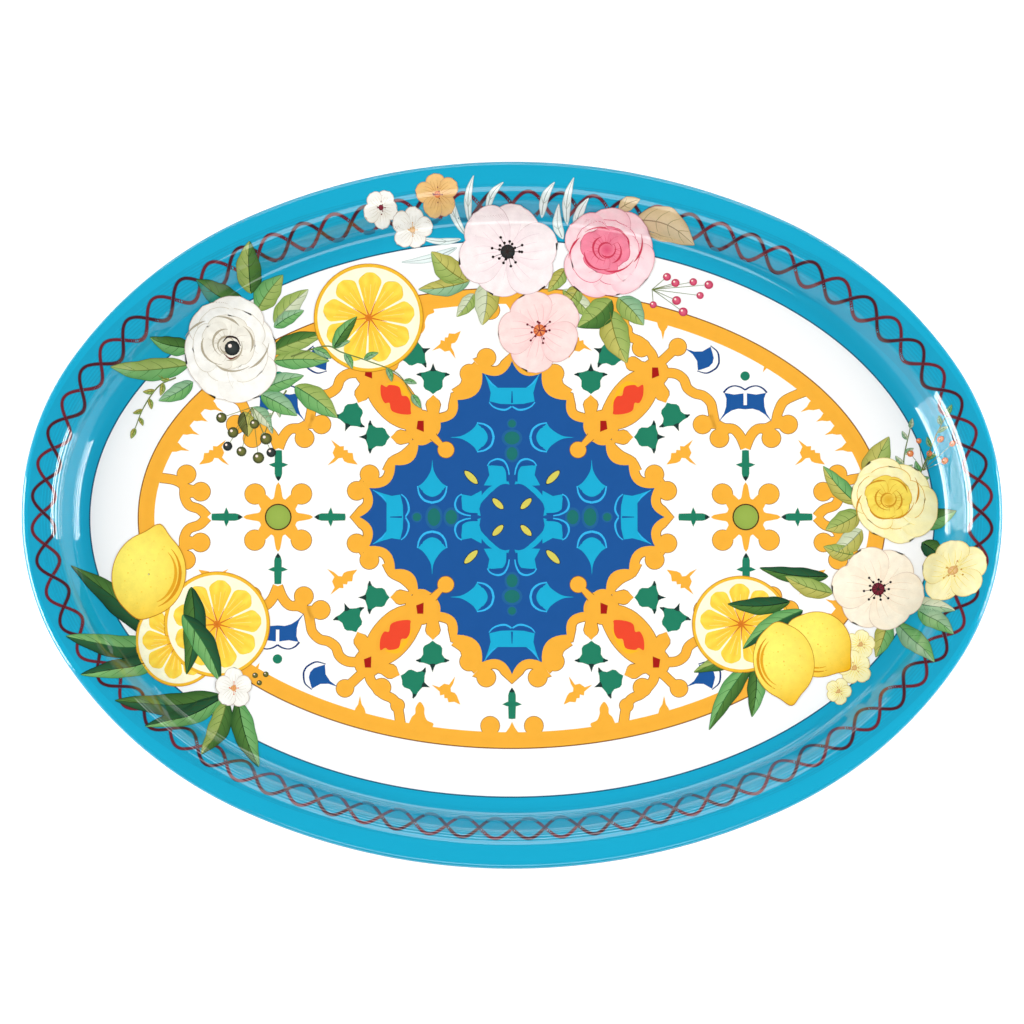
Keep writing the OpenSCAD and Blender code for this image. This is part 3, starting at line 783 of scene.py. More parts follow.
@dataclass
class Border:
    """What is printed on the turquoise rim, a keyline and a two-strand chain, with a slightly darker band of
    painted shade under the chain on the sloping rim.
    """

    shop: Workshop
    field_axes: tuple[float, float]
    links: int = 76
    inset_ends: float = 10.0
    inset_sides: float = 19.0
    swing: float = 5.1
    line: float = 1.3
    key_half: float = 0.35
    shade_band_half: float = 8.2
    steps: int = 20

    def build(self) -> None:
        """Prints the border."""
        key = Artwork(self.shop, "field_keyline", "keyline_ink", "field_keyline", 0.8)
        key.grid(oval_band(*self.field_axes, (-self.key_half, self.key_half), 360), KEYLINE)
        key.build()
        s = self.shop.surface
        rx, ry = s.half_l - self.inset_ends, s.half_w - self.inset_sides
        # The band under the chain is painted shade of the sloping rim, a little darker than the turquoise
        # coat.
        band = Artwork(self.shop, "chain_band_painted_shade", "turquoise_enamel", "rim_enamel", 0.5)
        band.grid(oval_band(rx, ry, np.linspace(-self.shade_band_half, self.shade_band_half, 13), 720), BAND_PAINTED_SHADE, 0.5)
        band.build()
        for first, name, node, wash in (
            (True, "chain_outer_strand", "chain_strand_one", CHAIN_RED),
            (False, "chain_inner_strand", "chain_strand_two", CHAIN_DARK),
        ):
            strand = Artwork(self.shop, name, "chain_ink", node, 1.6 if first else 2.0)
            rope = self._strand(rx, ry, 0.0 if first else math.pi)
            strand.stroke(rope, self.line + 0.5, CHAIN_HALO, 0.5, closed=True, per=1, lift=-0.6)
            strand.stroke(rope, self.line, wash, 0.5, closed=True, per=1)
            strand.build()

    def _strand(self, rx: float, ry: float, phase: float) -> np.ndarray:
        """One strand of the chain: it swings across the oval once every two links."""
        count = self.links * self.steps
        turn = np.arange(count) * 2 * math.pi / count
        speed = np.hypot(rx * np.sin(turn), ry * np.cos(turn))
        run = np.concatenate([[0], np.cumsum((speed + np.roll(speed, -1)) / 2)])
        even = np.interp(np.linspace(0, run[-1], count, endpoint=False), run, np.append(turn, 2 * math.pi))
        centre, normal = oval(rx, ry, even)
        wave = self.swing * np.sin(np.arange(count) / self.steps * math.pi + phase)
        return centre + wave[:, None] * normal


# ---------------------------------------------------------------- medallion


@dataclass
class Medallion:
    """The majolica medallion printed on the floor: ring, lattice, star and florets."""

    shop: Workshop
    inset_ends: float = 53.5
    inset_sides: float = 57.5
    band: float = 7.3

    STAR_CUSPS = (
        (0.0, 74.0), (14.0, 68.3), (25.6, 55.4), (33.6, 44.7), (35.2, 38.7),
        (38.5, 35.4), (44.0, 34.1), (54.8, 24.6), (66.9, 13.7), (71.5, 0.0),
    )
    ROSETTE = (109.6, 0.0)
    KNOT_ONE = (42.7, 43.2)
    KNOT_TWO = (67.1, 68.5)

    def __post_init__(self) -> None:
        """Works out the ring from the tray."""
        s = self.shop.surface
        self.rx, self.ry = s.half_l - self.inset_ends, s.half_w - self.inset_sides

    def art(self, name: str, slot: str, node: str, level: float) -> Artwork:
        """A new printed piece of the medallion."""
        return Artwork(self.shop, name, slot, node, level)

    def build(self) -> None:
        """Prints the medallion from the bottom ink to the top one."""
        self.ground()
        self.ring()
        self.lattice()
        self.star()
        self.rosettes()
        self.florets()
        self.lozenges()
        self.outer_curtains()
        self.flames()

    def ground(self) -> None:
        """The faintly creamy ground inside the ring."""
        ground = self.art("medallion_cream_ground", "white_enamel", "field_enamel", 0.8)
        ground.fill(ellipse((0, 0), self.rx - 1, self.ry - 1, 180), CREAM, 0.9)
        ground.build()

    def ring(self) -> None:
        """The gold ring with its half-round bumps and teeth."""
        ring = self.art("medallion_ring", "gold_ink", "medallion_ring", 2.0)
        band = oval_band(self.rx, self.ry, (0.0, -0.5 * self.band, -self.band), 360)
        ring.grid(band, GOLD, np.array([0.35, 0.6, 0.4]))
        ring.grid(oval_band(self.rx, self.ry, (0.55, -1.0), 360), GOLD_EDGE, 0.5, lift=-0.6)
        ring.disc((10.2, self.ry - 10.3), 4.4, GOLD, (0.5, 0.5), Fold.FOUR, 0.2)
        ring.disc((10.2, self.ry - 10.3), 4.65, GOLD_EDGE, (0.5, 0.5), Fold.FOUR, -0.6)
        spike = both_sides([(0, self.ry - 12.2), (1.2, self.ry - 9.6), (2.6, self.ry - 7.6),
                            (4.6, self.ry - 6.2), (4.6, self.ry - 3)])
        ring.fill(spike, GOLD, 0.5, Fold.UP_DOWN, 0.3)
        stub = [(36.6, 97.4), (39.6, 95.6), (40.9, 92.6), (41.0, 89.6), (43.0, 86.9), (45.0, 89.6),
                (45.2, 92.4), (47.0, 94.4), (48.0, 99.5), (40, 101.2)]
        ring.fill(smooth(stub, True), GOLD, 0.5, Fold.FOUR, 0.3)
        for x, y, size, turn_by in (
            (71, 90.4, 6.4, 180), (141, 52.6, 6.2, 118), (147.5, 47.4, 5.2, 116),
            (152.2, 41.0, 6.0, 112), (157.4, 33.0, 6.4, 106), (120.5, 73.4, 5.6, 152),
        ):
            tooth = np.array([(-2.9, -2.4), (-2.1, 0.4), (-0.8, 2.4), (0, size), (0.8, 2.4), (2.1, 0.4),
                              (2.9, -2.4)])
            ring.fill(placed(tooth, (x, y), turn_by), GOLD, 0.5, Fold.FOUR, 0.35)
        ring.build()

    # the star

    def star_edge(self, grow: float) -> np.ndarray:
        """The scalloped outline of the star, grown outwards."""
        cusps = self.STAR_CUSPS
        quarter = []
        for start, stop in zip(cusps, cusps[1:]):
            length = math.dist(start, stop)
            share = 0.27 if length > 11 else 0.12
            quarter.append(sag_edge(start, stop, (0, 0), share, 9))
        first = np.vstack(quarter + [np.array([cusps[-1]])])
        whole = np.vstack([first, (first * (1, -1))[-2::-1], (first * (-1, -1))[1:],
                           (first * (-1, 1))[-2:0:-1]])
        if grow:
            ahead = np.roll(whole, -1, axis=0) - np.roll(whole, 1, axis=0)
            ahead /= np.linalg.norm(ahead, axis=1, keepdims=True)
            whole = whole + grow * np.column_stack([-ahead[:, 1], ahead[:, 0]])
        return whole

    def star(self) -> None:
        """The blue star with its light blue curtains, drops, seeds and soft green dots."""
        ground = self.art("star_blue_ground", "blue_ink", "star_ground", 2.8)
        ground.fill(self.star_edge(0.0), BLUE, 0.5)
        ground.build()
        dots = self.art("star_green_dots", "green_ink", "green_florets", 3.2)
        for centre, rx, ry, fold in (
            ((0, 30.0), 2.6, 3.1, Fold.UP_DOWN), ((0, 37.4), 3.6, 3.1, Fold.UP_DOWN),
            ((0, 44.2), 1.8, 1.8, Fold.UP_DOWN), ((28.5, 0), 2.7, 3.4, Fold.LEFT_RIGHT),
            ((36.6, 0), 3.0, 4.2, Fold.LEFT_RIGHT), ((44.6, 0), 1.9, 1.9, Fold.LEFT_RIGHT),
        ):
            dots.fill(ellipse(centre, 1.35 * rx, 1.35 * ry, 24), DOT_GLOW, 0.95, fold)
            dots.fill(ellipse(centre, rx, ry, 24), TEAL_DOT, 0.3, fold, 0.4)
        dots.build()
        self.drapery()
        seeds = self.art("star_leaf_seeds", "yellow_ink", "leaf_seeds", 3.6)
        for centre, length, width, turn in (((19.2, 18.8), 8.4, 3.0, 45), ((6.6, 6.3), 6.8, 2.8, 45)):
            for grow, wash in ((1.0, SEED), (1.22, Wash((25, 45, 60), (20, 40, 60)))):
                t = np.linspace(0, math.pi, 13)
                half = np.column_stack([np.cos(t) * length / 2, np.sin(t) ** 1.2 * width / 2])
                leaf = np.vstack([half, (half * (1, -1))[-2:0:-1]])
                grown = leaf * (1 + (grow - 1) * 0.5, grow)
                seeds.fill(placed(grown, centre, turn), wash, 0.3, Fold.FOUR, 0 if grow == 1 else -0.3)
        seeds.build()

    def drapery(self) -> None:
        """The light blue figures, each with a brighter edge line."""
        art = self.art("star_curtains", "light_blue_ink", "star_drapery", 3.2)
        glow = self.art("star_curtain_edges", "light_blue_ink", "star_drapery", 3.9)
        shade = self.art("star_curtain_folds", "blue_ink", "star_ground", 3.7)
        for fold, turn, centre in ((Fold.UP_DOWN, 0, (0.0, 58.0)), (Fold.LEFT_RIGHT, -90, (55.6, 0.0))):
            body = both_sides([(0, 3.2), (6.6, 3.2), (9.2, 5.4), (12.8, 9.6), (11.0, 4.6), (10.0, 0.8),
                               (10.6, -3.2), (5.5, -4.4), (0, -4.6)])
            art.fill(placed(body, centre, turn), LIGHT_BLUE, 0.4, fold)
            for side in (-1, 1):
                swag = [(10.8 * side, -3.6), (9.0 * side, -5.6), (6.2 * side, -6.9), (3.2 * side, -7.2),
                        (1.0 * side, -6.2), (0.2 * side, -5.6)]
                glow.stroke(placed(swag, centre, turn), (0.5, 0.95, 0.7), BLUE_GLOW, 0.5, fold)
                shadow = [(9.4 * side, -4.2), (6.0 * side, -5.2), (2.4 * side, -5.4)]
                shade.stroke(placed(shadow, centre, turn), (0.2, 1.3, 0.5), BLUE, 0.8, fold)
                wing = [(12.8 * side, 9.6), (10.2 * side, 5.8), (7.6 * side, 3.6)]
                glow.stroke(placed(wing, centre, turn), (0.25, 0.8, 0.3), BLUE_GLOW, 0.6, fold)
            shade.stroke(placed([(0, 1.6), (0, -4.0)], centre, turn), (0.35, 0.9), BLUE, 0.9, fold)
        self._drop(art, glow, shade, (37.4, 11.6), 0)
        self._drop(art, glow, shade, (13.4, 37.7), -90)
        for centre, turn, flip in (((6.6, 20.4), 0, 1), ((19.7, 5.9), 90, -1)):
            block = np.array([(-4.4, 3.4), (4.9, 4.2), (4.0, -0.6), (6.6, -5.4), (2.2, -5.6),
                              (-2.0, -4.4), (-5.4, -5.0), (-4.2, -1.2)]) * (1, flip)
            art.fill(placed(block, centre, turn), LIGHT_BLUE, 0.5, Fold.FOUR, 0.3)
            cap = np.array([(5.0, 3.9), (3.4, 5.9), (0.2, 7.0), (-2.8, 6.0), (-4.6, 3.0), (-5.3, -0.4)])
            inner = np.array([(4.0, 4.0), (0.6, 4.9), (-2.6, 4.0), (-4.2, 1.0), (-4.4, -3.6)])
            cap, inner = cap * (1, flip), inner * (1, flip)
            glow.stroke(placed(cap, centre, turn), (0.5, 1.0, 0.6), BLUE_GLOW, 0.5, Fold.FOUR)
            shade.stroke(placed(inner, centre, turn), (0.4, 1.3, 0.8), BLUE, 0.9, Fold.FOUR)
        ring = [(1.6, 16.2), (5.6, 15.6), (9.6, 13.3), (12.8, 10.2), (15.3, 6.2), (16.4, 1.8)]
        art.stroke(ring, (0.4, 1.0, 2.4, 2.4, 1.0, 0.4), LIGHT_BLUE, 0.5, Fold.FOUR, 0.6)
        art.build()
        shade.build()
        glow.build()

    def _drop(self, art: Artwork, glow: Artwork, shade: Artwork, centre: Point, turn: float) -> None:
        """A drop with a long tip and a crescent under it, repeated in the four quarters."""
        body = both_sides([(0, 15.6), (0.5, 11.0), (2.2, 7.4), (4.6, 4.4), (6.6, 3.0), (5.6, 2.0),
                           (4.6, 0.4), (2.2, -1.4), (0, -2.0)])
        art.fill(placed(smooth(body, True, 3), centre, turn), LIGHT_BLUE, 0.4, Fold.FOUR, 0.2)
        for side in (-1, 1):
            crescent = [(6.9 * side, 3.0), (6.0 * side, -0.8), (3.6 * side, -3.7), (0, -4.8)]
            glow.stroke(placed(crescent, centre, turn), (0.6, 1.0, 1.1), BLUE_GLOW, 0.4, Fold.FOUR)
            fold = [(4.9 * side, 1.2), (4.2 * side, -1.0), (2.4 * side, -2.6)]
            shade.stroke(placed(fold, centre, turn), (0.3, 1.2, 0.6), BLUE, 0.8, Fold.FOUR)

    # the gold lattice

    def lattice(self) -> None:
        """Gold border of the star, knots, buds, pins and bands out to the ring."""
        gold = self.art("gold_lattice", "gold_ink", "gold_lattice", 2.2)
        edge = self.art("gold_lattice_outline", "gold_ink", "gold_lattice", 1.0)
        gold.fill(self.star_edge(4.4), GOLD, 0.45, lift=-0.5)
        edge.fill(self.star_edge(4.75), GOLD_EDGE, 0.4)
        pins = self.art("gold_pins", "gold_ink", "gold_lattice", 3.4)
        self._ball(pins, pins, (31.0, 31.8), 3.8)
        self._band(pins, pins, [(40.5, 41.5), (36.6, 37.6), (33.0, 33.8)], (6.0, 3.4, 2.4))
        knot_heart = smooth([(34.6, 42.6), (36.4, 38.2), (39.2, 36.4), (44.4, 35.0), (47.0, 38.0),
                             (48.4, 42.0), (47.8, 47.6), (44.0, 49.4), (39.0, 49.6), (34.8, 48.4)], True)
        pins.fill(knot_heart, GOLD, 0.45, Fold.FOUR, 0.3)
        pins.build()
        self._bud(gold, edge, (37.0, 57.9), 90, 10.0)
        self._bud(gold, edge, (57.0, 37.8), 0, 10.0)
        self._bud(gold, edge, (72.3, 54.0), -68, 11.0)
        self._bud(gold, edge, (52.4, 74.4), 158, 11.0)
        for centre, radius in ((self.KNOT_ONE, 7.4), (self.KNOT_TWO, 6.6)):
            gold.disc(centre, radius, GOLD, (0.4, 0.5), Fold.FOUR, 0.45)
            edge.disc(centre, radius + 0.3, GOLD_EDGE, (0.4, 0.4), Fold.FOUR, 0.25)
        almond_a = [(43.6, 46.0), (46.0, 54.0), (50.8, 61.2), (57.4, 66.4), (66.0, 68.8)]
        almond_b = [(45.2, 43.4), (53.8, 45.0), (60.6, 50.2), (65.4, 57.6), (67.2, 66.8)]
        for side in (almond_a, almond_b):
            self._band(gold, edge, side, (5.6, 4.0, 4.0, 4.4, 6.0))
        bands = (
            [(66.6, 70.5), (66.3, 76.0), (63.4, 80.2), (60.2, 83.4), (55.9, 85.4), (53.4, 89.2),
             (52.0, 97.2)],
            [(69.6, 68.2), (76.6, 68.0), (80.6, 65.4), (82.4, 61.2), (85.8, 58.6), (90.0, 57.4),
             (93.4, 54.0), (94.4, 49.6), (95.6, 44.8), (99.4, 42.2), (104.0, 41.6), (107.2, 38.2),
             (109.6, 32.6)],
            [(109.6, 32.6), (112.0, 38.2), (115.2, 41.6), (119.8, 42.2), (123.6, 44.8), (125.0, 49.6),
             (127.6, 54.6), (133.0, 57.6), (140.4, 60.4)],
            [(142.8, 0.0), (146.4, 3.6), (151.4, 5.6), (153.6, 9.8), (154.0, 14.6), (158.0, 17.4),
             (165.0, 18.6)],
            [(66.8, 71.0), (71.0, 74.4), (74.4, 77.6), (77.0, 80.0)],
            [(43.6, 36.0), (50.4, 29.6), (56.0, 26.4), (58.8, 21.4)],
            [(16.0, 72.0), (20.6, 67.2), (22.4, 62.0), (27.0, 58.4)],
        )
        gold.disc((19.4, 62.8), 2.6, GOLD, (0.45, 0.45), Fold.FOUR, 0.5)
        for path in bands:
            self._band(gold, edge, path, (4.4, 4.2, 4.4))
        spine = np.vstack([self.star_edge(2.2), *(smooth(path) for path in bands)])
        for centre, radius in (
            ((12.0, 75.5), 4.4), ((20.0, 68.0), 4.4), ((72.8, 12.4), 4.4), ((66.8, 20.2), 4.4),
            ((78.0, 80.6), 4.1), ((60.9, 80.2), 4.3), ((89.5, 43.8), 4.4), ((97.4, 37.3), 4.4),
            ((121.8, 37.3), 4.4), ((129.7, 43.8), 4.4), ((152.7, 20.2), 4.4), ((145.9, 12.0), 4.4),
            ((53.4, 88.6), 3.2),
        ):
            self._ball(gold, edge, centre, radius)
            root = spine[np.argmin(np.linalg.norm(spine - centre, axis=1))]
            self._band(gold, edge, [centre, tuple((root + centre) / 2), tuple(root)],
                       (1.5 * radius, 1.25 * radius, 1.7 * radius))
        gold.build()
        edge.build()

    @staticmethod
    def _ball(gold: Artwork, edge: Artwork, centre: Point, radius: float) -> None:
        """A round lobe with a thin darker edge."""
        gold.disc(centre, radius, GOLD, (0.55, 0.35), Fold.FOUR, 0.45)
        edge.disc(centre, radius + 0.28, GOLD_EDGE, (0.4, 0.4), Fold.FOUR, -0.4 if edge is gold else 0.3)

    @staticmethod
    def _band(gold: Artwork, edge: Artwork, path: Sequence[Point], width: Sequence[float]) -> None:
        """A flowing band with a thin darker edge."""
        gold.stroke(path, width, GOLD, 0.45, Fold.FOUR)
        wider = [w + 0.55 for w in width]
        edge.stroke(path, wider, GOLD_EDGE, 0.4, Fold.FOUR, -0.4 if edge is gold else 0.0)

    @staticmethod
    def _bud(gold: Artwork, edge: Artwork, tip: Point, turn: float, length: float) -> None:
        """A pointed bud on a neck; turn is where its tip points."""
        half = [(0, 0), (-1.2, 1.3), (-2.8, 2.8), (-3.4, 4.6), (-3.0, 6.6), (-2.6, 8.2), (-3.0, length)]
        bud = np.array([(y, x) for x, y in half] + [(y, -x) for x, y in half[:0:-1]]) * (-1, 1)
        gold.fill(placed(bud, tip, turn), GOLD, 0.45, Fold.FOUR, 0.85)
        edge.fill(placed(bud * (1.0, 1.1), tip, turn), GOLD_EDGE, 0.4, Fold.FOUR, 0.3)

    # florets and small motifs

    def rosettes(self) -> None:
        """The two rosettes on the long axis with their olive centres."""
        gold = self.art("rosettes", "gold_ink", "rosettes", 2.6)
        x = self.ROSETTE[0]
        petals = np.linspace(0, 2 * math.pi, 97)
        reach = 8.9 + 7.5 * np.maximum(0, np.cos(4 * petals)) ** 6
        gold.fill(polar(self.ROSETTE, reach, petals)[:-1], GOLD, 0.45, Fold.LEFT_RIGHT, -0.4)
        for sx in (-1, 1):
            for sy in (-1, 1):
                ball = (x + 10.9 * sx, 10.9 * sy)
                gold.disc(ball, 4.8, GOLD, (0.5, 0.35), Fold.LEFT_RIGHT, 0.6)
                gold.disc(ball, 5.05, GOLD_EDGE, (0.4, 0.4), Fold.LEFT_RIGHT, -1.0)
                neck = [(x + 4.5 * sx, 4.5 * sy), (x + 8.0 * sx, 9.0 * sy), (x + 10.9 * sx, 10.9 * sy)]
                gold.stroke(neck, (7.0, 5.2, 5.2), GOLD, 0.45, Fold.LEFT_RIGHT, 0.1)
        gold.build()
        eyes = self.art("rosette_eyes", "olive_ink", "rosette_eyes", 3.4)
        eyes.disc(self.ROSETTE, 5.7, OLIVE, (0.2, 0.8), Fold.LEFT_RIGHT, 0.2)
        eyes.disc(self.ROSETTE, 6.3, OLIVE_EDGE, (0.5, 0.5), Fold.LEFT_RIGHT)
        eyes.build()

    def florets(self) -> None:
        """Green bell florets and green crosses."""
        green = self.art("green_florets", "green_ink", "green_florets", 2.9)
        tips = self.art("green_floret_tips", "green_ink", "green_florets", 3.3)
        bell = both_sides([(0, 0), (1.6, -1.3), (3.7, -2.3), (4.5, -3.6), (4.4, -6.4), (5.4, -8.0),
                           (7.4, -9.2), (6.4, -10.2), (4.2, -10.4), (2.4, -11.0), (1.4, -11.4),
                           (0, -12.0)])
        spike = both_sides([(0, -14.8), (0.7, -12.6), (1.5, -11.0), (0, -10.8)])
        wing = np.array([(5.6, -8.5), (7.6, -9.0), (7.9, -9.5), (6.2, -10.1), (5.4, -9.9)])
        for place, turn in (
            ((37.1, 58.2), 180), ((57.3, 37.9), 90), ((72.9, 54.2), 22), ((52.0, 74.6), -112),
        ):
            green.fill(placed(bell, place, turn), GREEN, 0.4, Fold.FOUR)
            tips.fill(placed(spike, place, turn), GREEN_TIP, 0.4, Fold.FOUR)
            for side in (-1, 1):
                tips.fill(placed(wing * (side, 1), place, turn), GREEN_TIP, 0.2, Fold.FOUR)
        stem = both_sides([(0, 7.2), (1.6, 7.0), (1.75, 2.0), (1.75, -4.0), (1.3, -5.6), (0, -7.6)])
        arms = np.array([(-4.6, 0.3), (-2.4, 1.1), (0, 1.5), (2.4, 1.1), (4.6, 0.3), (2.4, -0.8),
                         (0, -1.2), (-2.4, -0.8)])
        end = both_sides([(0, -7.6), (1.1, -6.0), (0.9, -5.4), (0, -5.2)])
        for place, turn, fold in (
            ((109.6, 24.5), 0, Fold.FOUR), ((133.7, 0.0), 90 + 180, Fold.LEFT_RIGHT),
            ((85.2, 0.0), 90, Fold.LEFT_RIGHT), ((0.0, 87.8), 0, Fold.UP_DOWN),
        ):
            green.fill(placed(stem, place, turn), GREEN, 0.4, fold, 0.2)
            green.fill(placed(arms, place, turn), GREEN, 0.6, fold, 0.3)
            tips.fill(placed(end, place, turn), GREEN_TIP, 0.4, fold)
        green.fill(circle((109.6, 66.8), 2.2), GREEN, 0.5, Fold.FOUR)
        green.build()
        tips.build()

    def lozenges(self) -> None:
        """Red double blobs in the almonds and dark red diamonds on the knots."""
        fill = self.art("almond_ground", "gold_ink", "gold_lattice", 2.0)
        almond = [(44.6, 45.2), (47.4, 55.4), (53.4, 62.6), (62.0, 66.6), (65.6, 66.2), (64.4, 57.4),
                  (58.6, 49.8), (50.4, 45.4)]
        fill.fill(smooth(almond, True), GOLD, 0.6, Fold.FOUR)
        fill.build()
        red = self.art("red_lozenges", "red_ink", "red_lozenges", 3.0)
        blob = [(47.6, 50.6), (47.8, 48.6), (52.6, 48.8), (56.6, 50.4), (57.6, 54.0), (59.8, 54.0),
                (61.6, 57.6), (61.6, 62.6), (59.2, 61.6), (57.4, 62.6), (53.0, 61.6), (51.8, 57.6),
                (49.4, 57.2), (47.8, 54.6)]
        red.fill(smooth(blob, True, 4), RED, 0.4, Fold.FOUR)
        red.build()
        dark = self.art("dark_red_diamonds", "red_ink", "red_lozenges", 4.2)
        for centre in (self.KNOT_ONE, self.KNOT_TWO):
            diamond = np.array([(-0.6, 2.6), (2.1, 1.9), (1.7, -2.0), (-2.0, -2.5)])
            dark.fill(placed(diamond, centre, 14), DARK_RED, 0.5, Fold.FOUR)
        dark.build()
        amber = self.art("almond_shading", "gold_ink", "gold_lattice", 2.9)
        amber.stroke([(59.2, 63.0), (54.0, 63.0), (50.0, 59.0), (46.6, 52.6)], (0.3, 2.6, 2.2, 0.4),
                     Wash((250, 190, 40), (245, 180, 30)), 0.5, Fold.FOUR)
        amber.build()

    def outer_curtains(self) -> None:
        """Blue curtains and blue drops outside the star."""
        blue = self.art("blue_curtains", "blue_ink", "blue_drapery", 2.8)
        arcs = self.art("blue_curtain_arcs", "blue_ink", "blue_drapery", 3.2)
        centre = (109.6, 55.2)
        for side in (-1, 1):
            leaf = np.array([(0.8, 3.4), (5.2, 2.8), (9.8, 3.6), (8.8, 0.8), (9.0, -3.0), (10.0, -6.2),
                             (12.6, -10.2), (9.2, -6.6), (6.4, -4.8), (3.4, -3.9), (-0.1, -4.2),
                             (-0.1, -2.2), (0.8, -2.2)]) * (side, 1)
            blue.fill(placed(leaf, centre), BLUE, 0.4, Fold.FOUR)
            swag = [(10.2 * side, 3.7), (8.2 * side, 5.8), (5.4 * side, 6.9), (2.4 * side, 6.4), (0, 5.0)]
            arcs.stroke(placed(swag, centre), (0.9, 0.6, 0.8), NAVY, 0.5, Fold.FOUR)
        drop = both_sides([(0, 10.4), (0.7, 6.0), (2.6, 2.6), (6.4, 0.2), (4.6, -1.6), (2.4, -3.6),
                           (0, -4.2)])
        blue.fill(placed(drop, (90.6, 75.0), 62), BLUE, 0.4, Fold.FOUR, 0.2)
        for side in (-1, 1):
            crescent = placed([(6.8 * side, 0.4), (5.6 * side, -4.0), (2.0 * side, -6.6), (0, -7.0)],
                              (90.6, 75.0), 62)
            arcs.stroke(crescent, (0.4, 0.8, 0.8), NAVY, 0.5, Fold.FOUR)
        blue.build()
        arcs.build()

    def flames(self) -> None:
        """Small ragged gold flames between the bands."""
        gold = self.art("gold_flames", "gold_ink", "gold_lattice", 2.5)
        flame = np.array([
            (-6.8, -5.6), (-3.4, -1.8), (-4.4, 0.4), (-3.2, 3.2), (-5.2, 6.6), (-1.0, 3.4), (0.9, 3.6),
            (0.8, 1.6), (2.6, 1.8), (2.9, 0.4), (5.0, 0.3), (5.4, -2.6), (7.4, -5.2), (2.6, -4.4),
            (1.0, -3.6), (0.2, -2.0), (-1.6, -2.2), (-3.6, -4.0),
        ])
        for centre, turn, size in (((79.8, 30.0), 0, 1.0), ((30.4, 82.4), -78, 0.95)):
            gold.fill(placed(flame * (-1, 1), centre, turn, size), GOLD, 0.5, Fold.FOUR)
        gold.fill(placed(flame, (139.5, 30.0), 0), GOLD, 0.5, Fold.FOUR)
        gold.build()


# ---------------------------------------------------------------- flower sprays

LEAF_DARK = Wash((92, 138, 62), (28, 74, 30))
LEAF_DEEP = Wash((46, 104, 62), (10, 52, 34))
LEAF_LIGHT = Wash((178, 194, 112), (120, 150, 66))
LEAF_FRESH = Wash((140, 192, 118), (66, 140, 74))
LEAF_SAGE = Wash((168, 202, 160), (98, 152, 112))
LEAF_OLIVE = Wash((206, 200, 112), (150, 148, 58))
LEAF_BEIGE = Wash((232, 212, 172), (196, 166, 118))
LEAF_WILLOW = Wash((224, 228, 200), (176, 190, 148))
LEAF_GHOST = Wash((248, 252, 250), (206, 226, 222))
VEIN = Wash((74, 96, 44), (40, 62, 28))
STEM = Wash((128, 142, 78), (84, 104, 52))
BLUSH = Wash((252, 240, 238), (232, 206, 212))
PINK = Wash((253, 226, 228), (240, 150, 172))
PINK_HEART = Wash((242, 142, 164), (222, 84, 118))
PEACH_PINK = Wash((253, 228, 222), (242, 178, 180))
WHITE_PETAL = Wash((254, 252, 246), (222, 216, 200))
OCHRE = Wash((242, 200, 132), (206, 146, 74))
YELLOW_PETAL = Wash((255, 248, 200), (246, 222, 92))
YELLOW_HEART = Wash((250, 226, 96), (226, 168, 40))
CREAM_PETAL = Wash((254, 244, 222), (240, 214, 182))
LEMON_SKIN = Wash((255, 240, 110), (240, 180, 26))
LEMON_RIND = Wash((250, 208, 60), (228, 154, 26))
LEMON_PITH = Wash((255, 253, 226), (253, 238, 168))
LEMON_PULP = Wash((255, 226, 84), (248, 182, 30))
LEMON_STAR = Wash((226, 130, 34), (190, 90, 20))
INK = Wash((60, 40, 36), (30, 22, 24))
MAROON = Wash((150, 40, 60), (90, 20, 36))
BERRY = Wash((226, 100, 130), (180, 40, 76))
OLIVE_BERRY = Wash((120, 122, 60), (46, 54, 34))
DARK_BERRY = Wash((60, 66, 64), (22, 26, 28))
ORANGE_BUD = Wash((240, 160, 96), (214, 96, 44))
BERRY_GLINT = Wash((250, 236, 226), (240, 220, 210))
LEMON_EDGE = Wash((206, 140, 30), (180, 112, 22))
LEMON_SHADE = Wash((238, 178, 40), (214, 140, 20))
LEMON_PORE = Wash((250, 212, 70), (240, 190, 50))
SLICE_EDGE = Wash((206, 140, 30), (186, 116, 24))
PULP_LINE = Wash((255, 240, 150), (244, 170, 30))

GOLDEN_ANGLE = 2.39996


